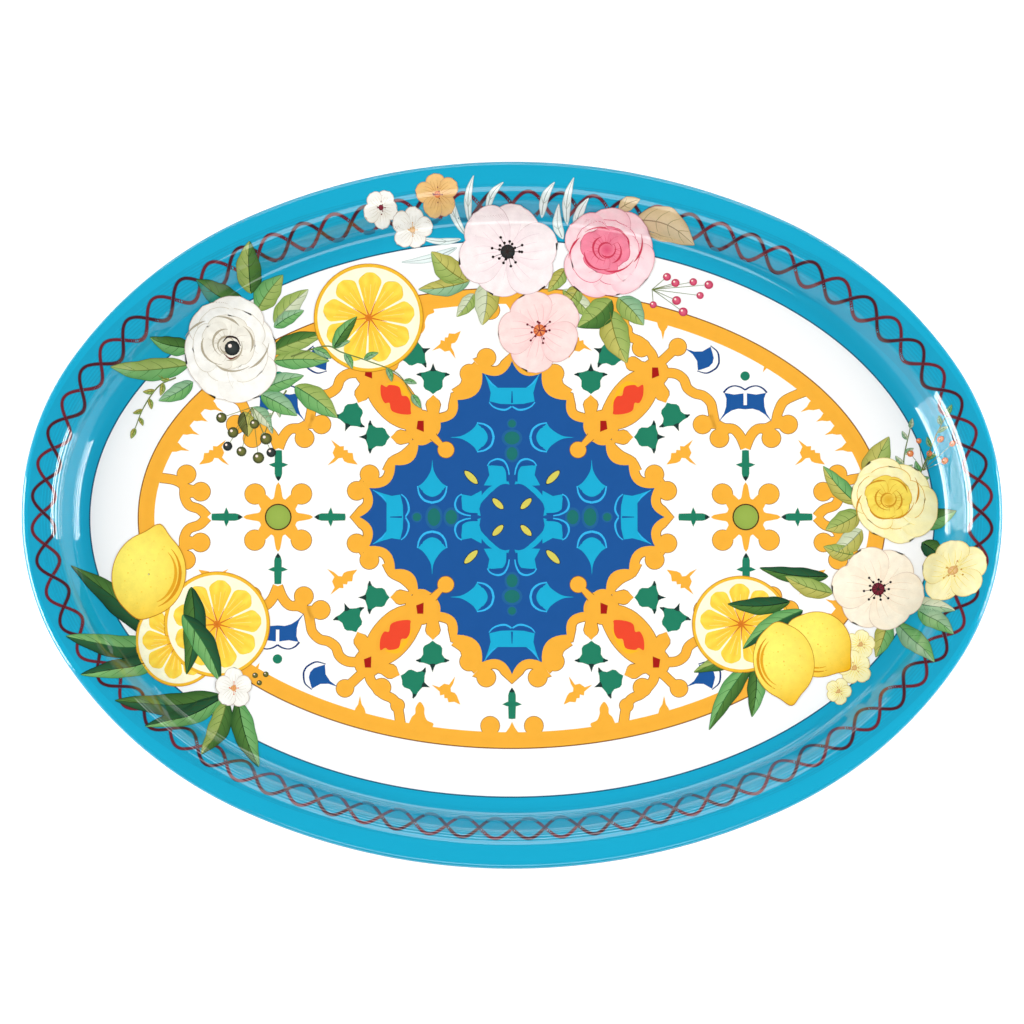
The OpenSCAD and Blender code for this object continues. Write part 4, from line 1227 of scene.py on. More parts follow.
@dataclass
class Spray:
    """One bouquet: its leaves, petals, fruit and brush lines, as separate printed pieces.

    Args:
        shop: the workshop.
        name: name the pieces start with.
        slot: the record's material slot.
        node: the CAD node the spray stands for.
    """

    shop: Workshop
    name: str
    slot: str
    node: str
    parts: dict = field(default_factory=dict)

    BASE = 5.0
    STEP = 1.5

    def part(self, kind: str) -> Artwork:
        """The piece that holds one kind of motif."""
        if kind not in self.parts:
            self.parts[kind] = Artwork(
                self.shop, f"{self.name}_{kind}", self.slot, self.node, self.BASE, WASH_PRINT
            )
        return self.parts[kind]

    def build(self) -> None:
        """Makes every piece of the spray."""
        for art in self.parts.values():
            art.build()

    def leaf(
        self, base: Point, tip: Point, width: float, washes: tuple[Wash, Wash], over: float = 0.0,
        bow: float = 0.0, veins: int = 4,
    ) -> None:
        """A leaf in two tones either side of its midrib.

        Args:
            base: where the stalk meets it.
            tip: its point.
            width: its full width.
            washes: the tones of its left and right halves.
            over: how many motifs it lies over.
            bow: how far its midrib curves to the left.
            veins: side veins on each half.
        """
        lift = over * self.STEP
        root, end = np.array(base, float), np.array(tip, float)
        length = float(np.linalg.norm(end - root))
        ahead = (end - root) / length
        left = np.array([-ahead[1], ahead[0]])
        rows = max(11, int(length / 0.9))
        s = np.linspace(0, 1, rows)
        mid = root + np.outer(s * length, ahead) + np.outer(bow * np.sin(math.pi * s), left)
        half = width / 2 * np.sin(math.pi * s**0.82) ** 0.85 * (1 - 0.12 * s)
        ripple = 1 + 0.04 * np.sin(s * 19 + length)
        t = np.linspace(0, 1, 7)
        blades, rims = self.part("leaves"), self.part("leaf_rims")
        for side, wash in ((1, washes[0]), (-1, washes[1])):
            reach = half * ripple
            blade = mid[:, None] + left * side * (reach[:, None] * t[None, :])[..., None]
            tone = 0.25 + 0.45 * t[None, :] ** 2 + 0.3 * (1 - s[:, None]) ** 2
            blades.grid(blade, wash, tone, lift=lift)
            rim = mid[:, None] + left * side * ((reach[:, None] + 0.2) * t[None, :])[..., None]
            rims.grid(rim, wash.darker(), 0.5, lift=lift - 0.55)
            for vein in range(veins):
                at = (vein + 0.8) / (veins + 1.3)
                row = int(at * (rows - 1))
                stop = min(rows - 1, row + max(2, rows // 6))
                start, reach_to = mid[row], mid[stop] + left * side * half[stop] * 0.82
                middle = (start + reach_to) / 2 + ahead * -0.05 * width
                self.part("leaf_veins").stroke(
                    [tuple(start), tuple(middle), tuple(reach_to)], (0.3, 0.14), Wash(wash.deep, VEIN.light),
                    0.5, lift=lift + 0.5, per=4,
                )
        rib = washes[1].darker()
        self.part("leaf_veins").stroke(mid[1:-1], (0.5, 0.38, 0.16), rib, 0.6, lift=lift + 0.6, per=1)

    def sprig(
        self, path: Sequence[Point], leaf_size: float, washes: tuple[Wash, Wash], over: float = 0.0,
        count: int = 5, width: float = 0.42,
    ) -> None:
        """A stem with small leaves on alternate sides and one at its tip."""
        line = smooth(path, per=8)
        self.part("stems").stroke(line, (0.75, 0.4), STEM, 0.5, lift=over * self.STEP - 0.2, per=1)
        for i in range(count):
            at = int((i + 1) / (count + 0.6) * (len(line) - 2))
            ahead = line[at + 1] - line[at]
            angle = math.atan2(ahead[1], ahead[0]) + math.radians(46 if i % 2 else -46)
            size = leaf_size * (1 - 0.07 * i)
            tip = line[at] + size * np.array([math.cos(angle), math.sin(angle)])
            self.leaf(tuple(line[at]), tuple(tip), size * width, washes, over, 0.06 * size, 2)
        ahead = line[-1] - line[-2]
        tip = line[-1] + ahead / np.linalg.norm(ahead) * leaf_size * 0.8
        self.leaf(tuple(line[-1]), tuple(tip), leaf_size * width * 0.9, washes, over, 0.0, 2)

    def petal(
        self, centre: Point, turn: float, length: float, width: float, wash: Wash, lift: float,
        notch: float = 0.05, start: float = 0.0, rim: Wash | None = None,
    ) -> None:
        """One petal: deeper at its foot and its folds, with faint veins.

        Args:
            centre: middle of the flower.
            turn: where it points, in degrees.
            length: how far it reaches.
            width: its full width.
            wash: its colour.
            lift: film steps above the spray's base.
            notch: depth of the dent in its tip, as a share of the length.
            start: where its foot starts, as a share of the length.
            rim: colour of the thin line round it.
        """
        rows, cols = max(12, int(length / 0.75)), max(9, int(width / 0.8))
        s, t = np.linspace(0, 1, rows)[:, None] ** 0.8, np.linspace(-1, 1, cols)[None, :]
        half = width / 2 * self._outline(s)
        phase = turn * 0.11
        wave = 1 + 0.02 * np.sin(4 * t + phase) * s
        reach = length * (start + (1 - start) * s) * wave
        reach = reach - length * notch * np.exp(-((t / 0.3) ** 2)) * s**4
        tone = 0.12 + 0.62 * np.exp(-s / 0.22) + 0.2 * np.abs(t) ** 3 + 0.08 * np.sin(9 * t + phase) * s
        spread = np.broadcast_to(half, (rows, cols)) * t
        petals, rims = self.part("petals"), self.part("petal_rims")
        petals.grid(self._turned(reach, spread, centre, turn), wash, tone, lift=lift)
        grow = 0.24
        edge = self._turned(reach + grow * s, spread * (1 + 2 * grow / width), centre, turn)
        rims.grid(edge, rim or Wash(wash.deep, (180, 150, 140)), 0.45, lift=lift - 0.55)
        for i, across in enumerate((-0.55, -0.2, 0.18, 0.52)):
            row = np.linspace(0.22, 0.62 + 0.07 * (i % 2), 5)
            line_half = width / 2 * self._outline(row) * across
            line = self._turned(length * (start + (1 - start) * row), line_half, centre, turn)
            self.part("petal_veins").stroke(line, (0.26, 0.12), Wash(wash.deep, wash.deep), 0.6,
                                            lift=lift + 0.5, per=3)

    @staticmethod
    def _outline(s: np.ndarray) -> np.ndarray:
        """Half width of a petal along its length: a narrow foot and a round tip."""
        widest = 0.6
        foot = 0.12 + 0.88 * np.sin(np.clip(s / widest, 0, 1) * math.pi / 2) ** 1.1
        tip = np.sqrt(np.clip(1 - ((s - widest) / (1 - widest)) ** 2, 0, 1))
        return np.where(s < widest, foot, tip)

    @staticmethod
    def _turned(ahead: np.ndarray, across: np.ndarray, centre: Point, turn: float) -> np.ndarray:
        """Points given as reach ahead and across, turned and moved."""
        a = math.radians(turn)
        ahead, across = np.broadcast_arrays(np.asarray(ahead, float), np.asarray(across, float))
        return np.stack(
            [centre[0] + ahead * math.cos(a) - across * math.sin(a),
             centre[1] + ahead * math.sin(a) + across * math.cos(a)], axis=-1)

    def blossom(
        self, centre: Point, radius: float, wash: Wash, heart: Wash, over: float = 0.0,
        petals: int = 5, turn: float = 90.0, stamens: int = 12, eye: Wash = OLIVE, full: float = 5.9,
    ) -> None:
        """An open blossom with stamens; full is how widely its petals fill the round."""
        lift = over * self.STEP
        for i in range(petals):
            size = radius * (1 + 0.06 * math.sin(2.1 * i + turn))
            self.petal(centre, turn + 360 * i / petals + 5 * math.sin(i * 3.3), size,
                       radius * full / petals, wash, lift + 0.6 * (i % 3))
        hearts, lines = self.part("hearts"), self.part("stamens")
        hearts.disc(centre, radius * 0.15, eye, (0.2, 0.9), lift=lift + 1.9, count=16)
        for i in range(stamens):
            angle = 2 * math.pi * i / stamens + 0.35 * math.sin(i * 2.7)
            reach = radius * (0.24 + 0.09 * math.sin(i * 4.1))
            end = (centre[0] + reach * math.cos(angle), centre[1] + reach * math.sin(angle))
            lines.stroke([centre, end], (0.3, 0.2), heart, 0.4, lift=lift + 2.2)
            lines.disc(end, max(0.3, radius * 0.03), heart, (0.7, 0.7), lift=lift + 2.4, rings=1, count=8)

    def rose(
        self, centre: Point, radius: float, wash: Wash, inner: Wash, core: Wash, over: float = 0.0,
        turn: float = 20.0,
    ) -> None:
        """A full rose: three rings of petals round a rolled heart."""
        lift = over * self.STEP
        aside = math.radians(turn + 100)
        for ring, (count, reach, width) in enumerate(((6, 1.0, 1.2), (5, 0.76, 0.98), (5, 0.52, 0.74))):
            tint = (wash, wash, inner)[ring]
            for i in range(count):
                angle = turn + ring * 33 + 360 * i / count + 11 * math.sin(i * 2.3 + ring)
                size = radius * reach * (1 + 0.11 * math.sin(1.7 * i + turn + ring))
                wide = radius * width * (0.92 + 0.14 * math.sin(2.9 * i + ring))
                drift = 0.07 * ring * radius
                middle = (centre[0] + drift * math.cos(aside), centre[1] + drift * math.sin(aside))
                self.petal(middle, angle, size, wide, tint, lift + ring * 1.3 + 0.5 * (i % 3),
                           0.03, 0.0, Wash(inner.deep, inner.deep) if ring else None)
        centre = (centre[0] + 0.12 * radius * math.cos(aside), centre[1] + 0.12 * radius * math.sin(aside))
        hearts = self.part("hearts")
        hearts.disc(centre, radius * 0.17, inner, (1.0, 0.3), lift=lift + 4.2, count=18)
        folds = self.part("rose_folds")
        for k, (reach, sweep) in enumerate(((0.17, 250), (0.27, 160), (0.38, 115), (0.52, 80), (0.66, 55))):
            for twin in (0, 1):
                first = math.radians(turn + 75 * k + 180 * twin)
                angles = first + np.linspace(0, math.radians(sweep * (0.75 if twin else 1)), 12)
                radii = radius * reach * np.linspace(0.86, 1.2, 12)
                drift = radius * 0.08 * (k % 3) * np.array([math.cos(first), math.sin(first)])
                arc = polar(centre + drift, radii, angles)
                folds.stroke(arc, (0.1, radius * 0.05, radius * 0.03, 0.1), core, 0.4,
                             lift=lift + 4.5 + 0.05 * k, per=1)

    def lemon(self, centre: Point, length: float, width: float, turn: float, over: float = 0.0) -> None:
        """A whole lemon, lit from its upper left."""
        lift = over * self.STEP
        count, rings = 73, 22
        angle = np.linspace(0, 2 * math.pi, count)
        tip = np.exp(-((np.abs(np.angle(np.exp(1j * angle))) / 0.26) ** 2))
        stalk = np.exp(-((np.abs(np.angle(np.exp(1j * (angle - math.pi)))) / 0.3) ** 2))
        ahead = np.cos(angle) * length * 0.43 + tip * length * 0.09 - stalk * length * 0.035
        across = np.sin(angle) * width / 2
        for grow, kind, base in ((1.02, "fruit_rims", -0.6), (1.0, "fruit", 0.0)):
            radii = np.linspace(0.02, grow, rings)[:, None]
            points = self._turned(radii * ahead, radii * across, centre, turn)
            light = np.array(centre) + np.array([-0.16, 0.14]) * width
            away = np.linalg.norm(points - light, axis=2) / (0.62 * length)
            tone = np.clip(0.02 + 0.85 * away**1.8, 0, 1)
            wash = LEMON_SKIN if grow == 1.0 else LEMON_EDGE
            self.part(kind).grid(points, wash, tone, lift=lift + base)
        pores = self.part("fruit_marks")
        for i in range(34):
            a, r = i * GOLDEN_ANGLE + 0.5 * math.sin(i * 1.7), math.sqrt((i + 0.5) / 34) * 0.88
            spot = self._turned(r * math.cos(a) * length * 0.42, r * math.sin(a) * width / 2, centre, turn)
            pores.disc(tuple(spot), 0.26 + 0.1 * math.sin(i * 5.1), LEMON_PORE, (0.3, 0.3),
                       lift=lift + 0.6, rings=1, count=8)
        for side, deep in ((0.86, 0.9), (0.74, 0.4)):
            sweep = np.linspace(-2.6, -0.55, 14)
            ahead, across = np.cos(sweep) * length * 0.41 * side, np.sin(sweep) * width / 2 * side
            pores.stroke(self._turned(ahead, across, centre, turn), (0.2, width * 0.05, width * 0.04, 0.2),
                         LEMON_SHADE, deep, lift=lift + 0.6, per=1)

    def slice(self, centre: Point, radius: float, over: float = 0.0, turn: float = 0.0,
              squash: float = 1.0, segments: int = 9) -> None:
        """A cut lemon slice: rind, pith and segments."""
        lift = over * self.STEP
        fruit, rims = self.part("fruit"), self.part("fruit_rims")

        def flat(points: np.ndarray) -> np.ndarray:
            """The slice is foreshortened across its turn."""
            return (points - np.array(centre)) * (squash, 1.0) + np.array(centre)

        for art, outer, wash, tones, up in (
            (rims, 1.014, SLICE_EDGE, (0.5, 0.5), -0.6),
            (fruit, 1.0, LEMON_RIND, (0.1, 0.7), 0.0), (fruit, 0.945, LEMON_PITH, (0.2, 0.5), 0.5),
        ):
            radii = np.linspace(0.02, outer, 28)[:, None] * radius
            points = polar(centre, radii, np.linspace(0, 2 * math.pi, 97))
            art.grid(flat(points), wash, np.linspace(*tones, 28)[:, None] ** 2, lift=lift + up)
        marks = self.part("fruit_marks")
        for i in range(segments):
            middle = math.radians(turn) + 2 * math.pi * i / segments
            s, t = np.linspace(0, 1, 19)[:, None], np.linspace(-1, 1, 11)[None, :]
            rounded = np.sqrt(np.clip(1 - (np.maximum(s - 0.82, 0) / 0.2) ** 2, 0.1, 1))
            spread = math.pi / segments * 0.9 * rounded
            angle = middle + t * spread
            reach = radius * (0.07 + 0.78 * s * (1 - 0.05 * t**4))
            tone = 0.25 + 0.5 * (1 - s) + 0.2 * np.sin(7 * t + i) * s
            fruit.grid(flat(polar(centre, reach, angle)), LEMON_PULP, tone, lift=lift + 1.0)
            for k, share in enumerate((-0.55, -0.1, 0.35, 0.65)):
                a = middle + share * math.pi / segments * 0.8
                ends = radius * np.array([0.2 + 0.06 * k, 0.62 + 0.05 * math.sin(i + k)])
                marks.stroke(flat(polar(centre, ends, a)), (0.2, 0.5, 0.2), PULP_LINE,
                             0.15 if k % 2 else 0.85, lift=lift + 1.4)
            a = middle + math.pi / segments
            root = (centre[0] + radius * 0.02, centre[1])
            spoke = np.array([root, polar(centre, radius * 0.34, a)])
            marks.stroke(flat(spoke), (0.9, 0.5, 0.15), LEMON_STAR, 0.4, lift=lift + 1.6)
        marks.disc(centre, radius * 0.07, LEMON_STAR, (0.6, 0.1), lift=lift + 1.8, rings=1, count=14)

    def berries(self, spots: Iterable[Point], radius: float, wash: Wash, over: float = 0.0,
                stem_from: Point | None = None) -> None:
        """Small round berries with a lit side."""
        lift = over * self.STEP
        for i, spot in enumerate(spots):
            size = radius * (1 + 0.12 * math.sin(i * 2.9))
            if stem_from:
                self.part("stems").stroke([stem_from, spot], (0.3, 0.2), STEM, 0.4, lift=lift - 0.2)
            self.part("berries").disc(spot, size, wash, (0.0, 1.0), lift=lift, count=14)
            lit = (spot[0] - size * 0.3, spot[1] + size * 0.3)
            self.part("berries").disc(lit, size * 0.26, BERRY_GLINT, (0.3, 0.9), lift=lift + 0.3,
                                      rings=1, count=8)


class Bouquets:
    """Lays the four sprays out round the field."""

    def __init__(self, shop: Workshop) -> None:
        """Names the sprays."""
        self.rose = Spray(shop, "rose_spray", "rose_print", "rose_spray")
        self.white = Spray(shop, "white_rose_spray", "white_rose_print", "white_rose_spray")
        self.lemon = Spray(shop, "lemon_spray", "lemon_print", "lemon_spray")
        self.yellow = Spray(shop, "yellow_bouquet", "bouquet_print", "yellow_bouquet")

    def build(self) -> None:
        """Paints and makes the four sprays."""
        self.paint_rose()
        self.paint_white()
        self.paint_lemon()
        self.paint_yellow()
        for spray in (self.rose, self.white, self.lemon, self.yellow):
            spray.build()

    def paint_rose(self) -> None:
        """Blush anemone, pink rose and blossom at the top."""
        spray = self.rose
        pale, olive = (LEAF_GHOST, LEAF_GHOST), (LEAF_LIGHT, LEAF_OLIVE)
        for base, tip, width in (
            ((-22, 134), (-31, 157), 3.6), ((-20, 140), (-18, 159), 3.4), ((-12, 144), (-4, 156), 3.2),
            ((-26, 128), (-52, 121), 3.8), ((-24, 132), (-44, 133), 3.0), ((14, 142), (20, 156), 3.8),
            ((26, 139), (29, 158), 3.8), ((24, 132), (22, 147), 4.6), ((30, 136), (36, 149), 4.2),
        ):
            spray.leaf(base, tip, width, pale, 0.0, 1.6, 1)
        spray.leaf((24, 108), (40, 92), 8.0, (LEAF_WILLOW, LEAF_LIGHT), 0.2, 1.0)
        for base, tip, width, washes, bow in (
            ((-22, 112), (-38, 126), 12.5, (LEAF_LIGHT, LEAF_OLIVE), 1.2),
            ((-20, 112), (-44, 108), 9.0, (LEAF_SAGE, LEAF_OLIVE), 1.0),
            ((-12, 112), (-14, 91), 12.0, (LEAF_OLIVE, LEAF_WILLOW), 1.0),
            ((-18, 106), (-26, 95), 7.0, (LEAF_LIGHT, LEAF_WILLOW), 0.5),
            ((25, 118), (17, 107), 7.0, olive, 0.5), ((32, 110), (22, 97), 8.5, olive, 0.8),
            ((47, 103), (31, 90), 13.5, (LEAF_DARK, LEAF_LIGHT), 1.4),
            ((46, 98), (54, 73), 14.0, (LEAF_LIGHT, LEAF_OLIVE), -1.2),
            ((50, 104), (62, 91), 11.5, (LEAF_SAGE, LEAF_LIGHT), 0.8),
        ):
            spray.leaf(base, tip, width, washes, 0.6, bow)
        spray.leaf((58, 140), (86, 129), 14.0, (LEAF_BEIGE, Wash((224, 202, 160), (190, 160, 112))), 0.4, 3.0)
        spray.leaf((50, 144), (60, 148), 6.0, (LEAF_BEIGE, LEAF_BEIGE), 0.3, 0.5, 1)
        spray.blossom((-61.5, 144.5), 8.0, WHITE_PETAL, MAROON, 1.0, 5, 60, 7, MAROON, 4.5)
        spray.blossom((-47.0, 136.5), 9.4, WHITE_PETAL, OCHRE, 1.6, 5, 80, 7, OCHRE, 4.5)
        spray.blossom((-35.0, 150.5), 9.6, OCHRE, MAROON, 1.2, 5, 100, 7, ORANGE_BUD, 4.5)
        spray.blossom((13.0, 88.5), 19.4, PEACH_PINK, MAROON, 2.4, 5, 40, 13, ORANGE_BUD, 5.2)
        spray.blossom((-2.0, 126.0), 23.0, BLUSH, INK, 3.2, 6, 74, 18, DARK_BERRY)
        spray.rose((46.5, 125.0), 21.5, PINK, PINK_HEART, Wash((214, 70, 96), (190, 40, 66)), 4.6, 35)
        spots = ((73, 114), (77, 111.1), (85.4, 111.6), (92.7, 110.2), (88.6, 105.1), (77.5, 102.7),
                 (66.5, 100.7), (80.6, 97.3))
        spray.berries(spots, 1.9, BERRY, 0.8, (66, 108))

    def paint_white(self) -> None:
        """White rose, lemon slice and leaves at the upper left."""
        spray = self.white
        dark, light = (LEAF_DARK, LEAF_LIGHT), (LEAF_LIGHT, LEAF_FRESH)
        for leaf in (
            ((-123, 106), (-123, 128), 12.0, (LEAF_LIGHT, LEAF_DARK), 0.4),
            ((-126, 100), (-148, 110), 12.0, (Wash((46, 150, 130), (20, 100, 90)), LEAF_DARK), 0.3),
            ((-120, 98), (-108, 115), 12.0, (LEAF_FRESH, LEAF_LIGHT), 0.3),
            ((-112, 92), (-96, 108), 10.0, (LEAF_LIGHT, LEAF_WILLOW), 0.3),
            ((-112, 90), (-98, 98), 7.0, (LEAF_SAGE, LEAF_FRESH), 0.5),
            ((-150, 80), (-170, 84), 9.0, (LEAF_FRESH, LEAF_DARK), 0.3),
            ((-152, 72), (-188, 69), 11.0, (LEAF_FRESH, LEAF_LIGHT), 0.5),
            ((-150, 64), (-166, 55), 8.0, (LEAF_FRESH, LEAF_SAGE), 0.4),
            ((-114, 78), (-88, 87), 9.0, dark, 1.0), ((-112, 74), (-86, 74), 9.5, light, 1.0),
            ((-118, 60), (-98, 67), 8.5, (LEAF_SAGE, LEAF_FRESH), 0.6),
            ((-118, 58), (-101, 48), 9.5, (LEAF_SAGE, LEAF_FRESH), 0.8),
            ((-102, 62), (-82, 47), 11.5, (LEAF_LIGHT, LEAF_FRESH), 0.8),
            ((-122, 52), (-113, 42), 7.0, (LEAF_SAGE, LEAF_WILLOW), 0.5),
        ):
            spray.leaf(*leaf, 0.8)
        spray.sprig([(-158, 66), (-166, 62), (-173, 52), (-177, 42)], 6.5, (LEAF_LIGHT, LEAF_OLIVE), 0.3, 6)
        spray.sprig([(-106, 60), (-112, 50), (-116, 40)], 6.0, (LEAF_SAGE, LEAF_WILLOW), 0.3, 4)
        spray.slice((-67.5, 94.5), 25.5, 1.8, 8, 1.0, 9)
        spray.sprig([(-104, 76), (-88, 81), (-80, 78), (-68, 74), (-54, 68), (-47, 58)], 9.5,
                    (LEAF_FRESH, LEAF_SAGE), 4.4, 6, 0.4)
        spray.leaf((-84, 80), (-73, 95), 6.5, (LEAF_FRESH, LEAF_DARK), 4.6, 0.8)
        spray.rose((-133.0, 79.0), 23.5, WHITE_PETAL, Wash((250, 246, 234), (214, 204, 184)),
                   Wash((196, 186, 162), (150, 136, 112)), 5.0, 12)
        spray.berries([(-131.6, 80)], 3.6, DARK_BERRY, 9.0)
        spray.part("rose_folds").stroke([(-136, 83), (-133.5, 85.4), (-129.6, 84.6), (-127.6, 81)],
                                        (0.3, 1.0, 0.8, 0.2), INK, 0.5, lift=12.6)
        spray.part("rose_folds").stroke([(-135.6, 77.4), (-132.4, 75.0), (-128.6, 76.6)],
                                        (0.2, 0.9, 0.2), Wash((120, 50, 40), (90, 36, 30)), 0.5, lift=12.6)
        spray.leaf((-126, 50), (-124, 38), 8.0, (LEAF_OLIVE, OLIVE_BERRY), 0.9, 0.4, 2)
        spots = ((-136.5, 47), (-131, 40), (-127, 31), (-119, 28), (-121, 44), (-115.5, 37))
        spray.berries(spots, 2.5, OLIVE_BERRY, 1.2, (-122, 52))
        spray.berries([(-133.5, 33.5), (-113, 30.5)], 2.2, DARK_BERRY, 1.2, (-122, 52))

    def paint_lemon(self) -> None:
        """Lemons and dark leaves at the lower left."""
        spray = self.lemon
        deep, mixed = (LEAF_DEEP, LEAF_DARK), (LEAF_FRESH, LEAF_DEEP)
        for leaf in (
            ((-168, -56), (-206, -24), 12.5, (LEAF_DEEP, LEAF_DARK), 0.3, -2.0),
            ((-166, -60), (-207, -58), 12.0, (LEAF_DEEP, LEAF_FRESH), 0.5, 2.5),
            ((-162, -64), (-200, -76), 10.5, mixed, 0.7, 2.0),
            ((-136, -84), (-184, -88), 12.0, (LEAF_DEEP, LEAF_DARK), 0.5, 3.0),
            ((-134, -84), (-170, -100), 10.0, mixed, 0.6, 2.0),
            ((-133, -86), (-144, -113), 10.5, (LEAF_DARK, LEAF_LIGHT), 0.8, 1.5),
            ((-128, -86), (-118, -118), 11.0, (LEAF_FRESH, LEAF_DARK), 0.8, -1.5),
        ):
            spray.leaf(*leaf, 6)
        spray.slice((-156, -58), 21.5, 1.0, 20, 0.92, 9)
        spray.slice((-138.0, -50.5), 24.5, 2.0, 5, 1.0, 9)
        spray.lemon((-170.0, -27.0), 46, 34, 78, 3.6)
        for leaf in (
            ((-150, -33), (-152, -74), 11.0, deep, 4.4, 2.6),
            ((-154, -46), (-136, -78), 11.0, (LEAF_DEEP, LEAF_FRESH), 4.8, 2.0),
        ):
            spray.leaf(*leaf, 6)
        spray.blossom((-130.0, -80.5), 9.0, WHITE_PETAL, ORANGE_BUD, 5.6, 5, 90, 7, OCHRE, 4.5)
        spray.berries([(-120, -74.5), (-115, -74), (-118, -78)], 1.3, OLIVE_BERRY, 1.0)

    def paint_yellow(self) -> None:
        """Yellow rose, cream blossoms, lemons and leaves at the right."""
        spray = self.yellow
        spray.sprig([(188, 12), (193, 24), (199, 38), (203, 46)], 6.5, (LEAF_SAGE, LEAF_FRESH), 0.2, 6)
        spray.sprig([(184, 16), (184, 28), (187, 42)], 6.0, (LEAF_SAGE, LEAF_WILLOW), 0.2, 4)
        buds = ((196, 30), (201, 36), (206, 33), (203, 26), (191, 36), (187, 30))
        spray.berries(buds, 1.4, ORANGE_BUD, 0.5, (193, 22))
        for leaf in (
            ((168, 14), (177, 38), 13.0, (LEAF_OLIVE, LEAF_LIGHT), 0.6, 1.4),
            ((162, 6), (146, 24), 9.0, (LEAF_OLIVE, LEAF_FRESH), 0.6, 1.0),
            ((163, 2), (147, -6), 11.0, (LEAF_OLIVE, LEAF_LIGHT), 0.5, 0.8),
            ((164, -6), (150, -18), 10.0, (LEAF_OLIVE, LEAF_WILLOW), 0.4, 0.8),
            ((160, -18), (146, -14), 8.0, (LEAF_OLIVE, LEAF_LIGHT), 0.4, 0.5),
            ((192, -4), (208, 2), 10.0, (LEAF_DARK, LEAF_FRESH), 0.5, 0.6),
            ((192, -12), (202, -20), 9.0, (LEAF_DARK, LEAF_DEEP), 0.5, 0.6),
            ((190, -44), (205, -57), 9.0, (LEAF_SAGE, LEAF_FRESH), 0.5, 0.6),
            ((180, -50), (196, -70), 10.0, (LEAF_FRESH, LEAF_SAGE), 0.6, 0.6),
            ((176, -48), (170, -66), 9.0, (LEAF_FRESH, LEAF_OLIVE), 0.5, 0.6),
            ((186, -40), (206, -46), 8.0, (LEAF_WILLOW, LEAF_SAGE), 0.4, 0.6),
        ):
            spray.leaf(*leaf)
        for leaf in (
            ((148, -28), (116, -24), 8.0, (LEAF_DARK, LEAF_DEEP), 1.2, 1.5),
            ((112, -66), (85, -73), 8.5, (LEAF_DARK, LEAF_LIGHT), 0.6, -1.5),
            ((112, -68), (92, -100), 9.0, (LEAF_DARK, LEAF_FRESH), 0.7, -1.5),
            ((114, -70), (112, -94), 8.5, (LEAF_FRESH, LEAF_DARK), 0.7, 1.0),
        ):
            spray.leaf(*leaf, 5)
        spray.slice((107.0, -50.5), 22.5, 1.4, 12, 1.0, 9)
        spray.leaf((130, -40), (101, -41), 8.5, (LEAF_DARK, LEAF_DEEP), 3.0, 1.5, 5)
        spray.leaf((136, -44), (108, -62), 9.0, (LEAF_DEEP, LEAF_FRESH), 3.2, -2.0, 5)
        spray.lemon((143.0, -60.0), 36, 30, -38, 3.8)
        spray.lemon((127.0, -68.0), 40, 28, -80, 5.0)
        spray.leaf((150, -36), (128, -28), 9.0, (LEAF_OLIVE, LEAF_LIGHT), 2.0, 1.2)
        spray.blossom((160.0, -71.0), 8.0, YELLOW_PETAL, OCHRE, 2.2, 5, 30, 6, OCHRE, 4.5)
        spray.blossom((152.5, -82.0), 6.0, YELLOW_PETAL, OCHRE, 2.2, 5, 70, 6, OCHRE, 4.5)
        spray.blossom((163.0, -60.0), 7.0, YELLOW_PETAL, OCHRE, 2.0, 5, 10, 6, OCHRE, 4.5)
        spray.blossom((206.0, -26.5), 14.5, YELLOW_PETAL, Wash((226, 180, 60), (190, 130, 30)),
                       2.0, 5, 20, 9, OCHRE, 5.0)
        spray.blossom((171.4, -34.0), 20.5, CREAM_PETAL, INK, 4.2, 6, 54, 16, MAROON)
        core = Wash((222, 160, 40), (186, 120, 24))
        spray.rose((178.5, 7.0), 19.5, YELLOW_PETAL, YELLOW_HEART, core, 5.6, 50)


# ---------------------------------------------------------------- studio


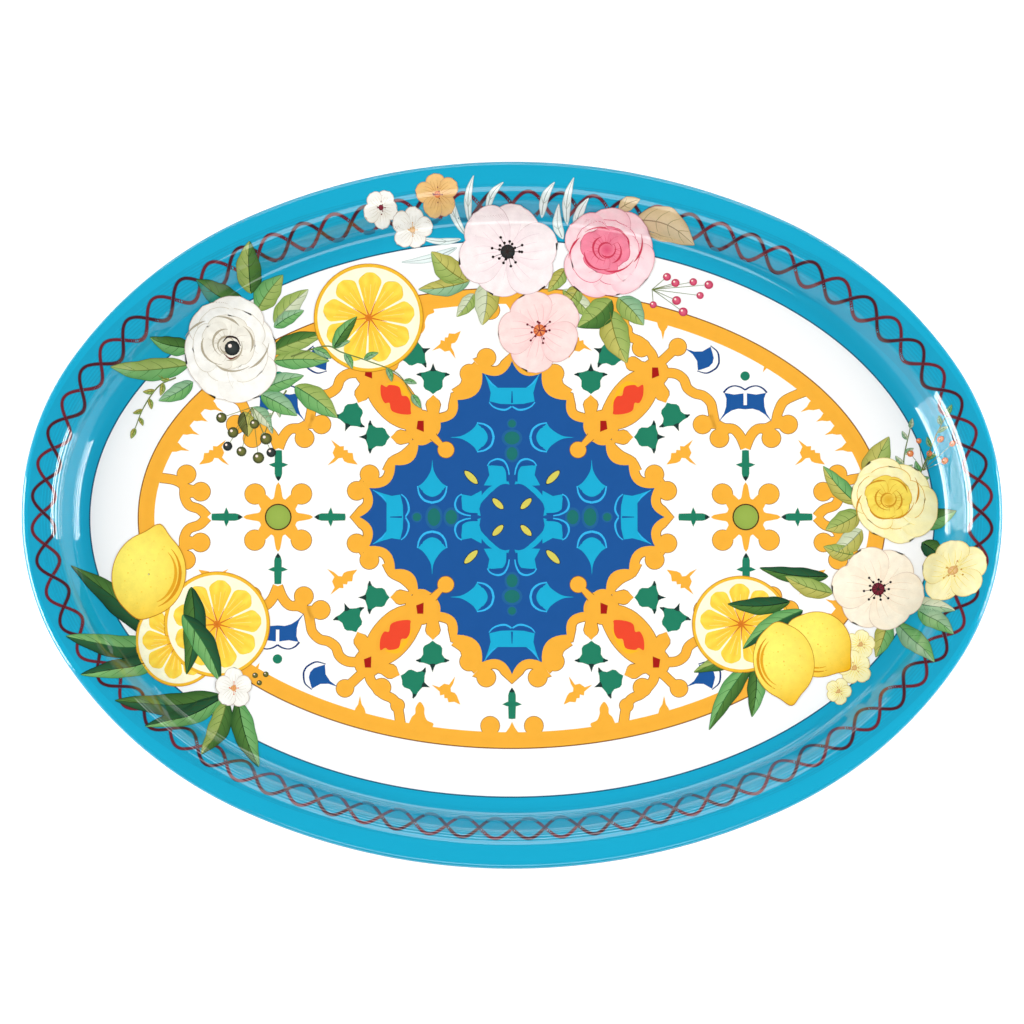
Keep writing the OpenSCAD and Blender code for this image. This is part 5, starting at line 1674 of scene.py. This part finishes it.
@dataclass
class Studio:
    """A plain pale floor, soft boxes on four sides, narrow strips for the gloss, and the camera."""

    box: tuple[Vector, Vector]
    elevation: float = 83.0
    lens: float = 200.0
    margin: float = 1.043

    def build(self) -> None:
        """Sets the stage."""
        bpy.context.scene.view_settings.view_transform = "Standard"
        self._floor()
        self._world()
        self._lights()
        self._camera()

    def _floor(self) -> None:
        """A plain pale floor, not part of the tray."""
        mesh = bpy.data.meshes.new("studio_floor")
        far, low = 6.0, self.box[0][2] - 0.0005
        mesh.from_pydata([(-far, -far, low), (far, -far, low), (far, far, low), (-far, far, low)], [],
                         [(0, 1, 2, 3)])
        floor = bpy.data.objects.new("studio_floor", mesh)
        bpy.context.scene.collection.objects.link(floor)
        material, tree, shader = blank_material("studio_paper")
        feed(tree, shader, {
            "Base Color": (0.86, 0.86, 0.86, 1), "Roughness": 0.9, "Specular IOR Level": 0.0,
            "Emission Color": (1, 1, 1, 1), "Emission Strength": 0.35,
        })
        mesh.materials.append(material)

    @staticmethod
    def _world() -> None:
        """An even pale surround."""
        world = bpy.data.worlds.new("studio")
        world.use_nodes = True
        tree = world.node_tree
        feed(tree, tree.nodes["Background"], {"Color": (1, 1, 1, 1), "Strength": 0.14})
        bpy.context.scene.world = world

    @staticmethod
    def _area(
        name: str, place: Triple, aim: Triple, size: tuple[float, float], power: float
    ) -> bpy.types.Object:
        """One soft box."""
        light = bpy.data.lights.new(name, "AREA")
        light.shape = "RECTANGLE"
        light.size, light.size_y = size
        light.energy = power
        lamp = bpy.data.objects.new(name, light)
        lamp.location = place
        lamp.rotation_euler = (Vector(aim) - Vector(place)).to_track_quat("-Z", "Y").to_euler()
        bpy.context.scene.collection.objects.link(lamp)
        return lamp

    def _lights(self) -> None:
        """Soft boxes on four sides for the fill, and level strips that only the gloss sees."""
        for name, side in (("box_left", -1.0), ("box_right", 1.0)):
            box = self._area(name, (1.45 * side, 0.0, 0.80), (0, 0, 0.05), (1.05, 1.05), 22.0)
            box.visible_glossy = False
        self._area("box_front", (0, -1.5, 1.6), (0, 0, 0), (1.6, 0.8), 14.0)
        self._area("box_back", (0, 1.9, 1.7), (0, 0, 0), (1.6, 0.8), 14.0)
        for name, place, size, power in (
            ("strip_right_low", (1.5, 0, 0.25), (0.8, 0.24), 9.0),
            ("strip_right_middle", (1.5, 0, 0.72), (0.8, 0.16), 10.0),
            ("strip_right_high", (1.5, 0, 1.02), (0.8, 0.10), 7.0),
            ("strip_left_low", (-1.5, -0.2, 0.25), (1.1, 0.30), 20.0),
            ("strip_left_high", (-1.5, -0.2, 0.74), (1.1, 0.52), 34.0),
            ("strip_back_low", (0, 1.6, 0.22), (2.4, 0.07), 5.0),
            ("strip_back_high", (0, 1.6, 0.70), (2.4, 0.12), 7.0),
        ):
            aim = (0, place[1] if place[0] else 0, place[2])
            strip = self._area(name, place, aim, size, power)
            strip.visible_diffuse = False

    def _camera(self) -> None:
        """A long lens, nearly plumb over the tray, centred on its outline."""
        low, high = self.box
        target = Vector(((low[0] + high[0]) / 2, (low[1] + high[1]) / 2, high[2]))
        data = bpy.data.cameras.new("camera")
        data.lens = self.lens
        data.sensor_width = 36.0
        lean = math.radians(self.elevation)
        away = Vector((0, -math.cos(lean), math.sin(lean)))
        distance = (high[0] - low[0]) * self.margin * self.lens / data.sensor_width
        camera = bpy.data.objects.new("camera", data)
        camera.location = target + away * distance
        camera.rotation_euler = (-away).to_track_quat("-Z", "Y").to_euler()
        data.clip_end = 50.0
        bpy.context.scene.collection.objects.link(camera)
        bpy.context.scene.camera = camera


def main() -> None:
    """Builds the tray, its print and the studio."""
    low, high = CAD_BOX
    surface = TraySurface((high[0] - low[0]) / 2 / MM, (high[1] - low[1]) / 2 / MM, high[2] / MM)
    shop = Workshop(surface)
    metal = Metalwork(shop)
    metal.pan()
    metal.wire()
    metal.coats()
    Border(shop, metal.field_axes()).build()
    Medallion(shop).build()
    Bouquets(shop).build()
    Studio(CAD_BOX).build()


if __name__ == "__main__":
    main()
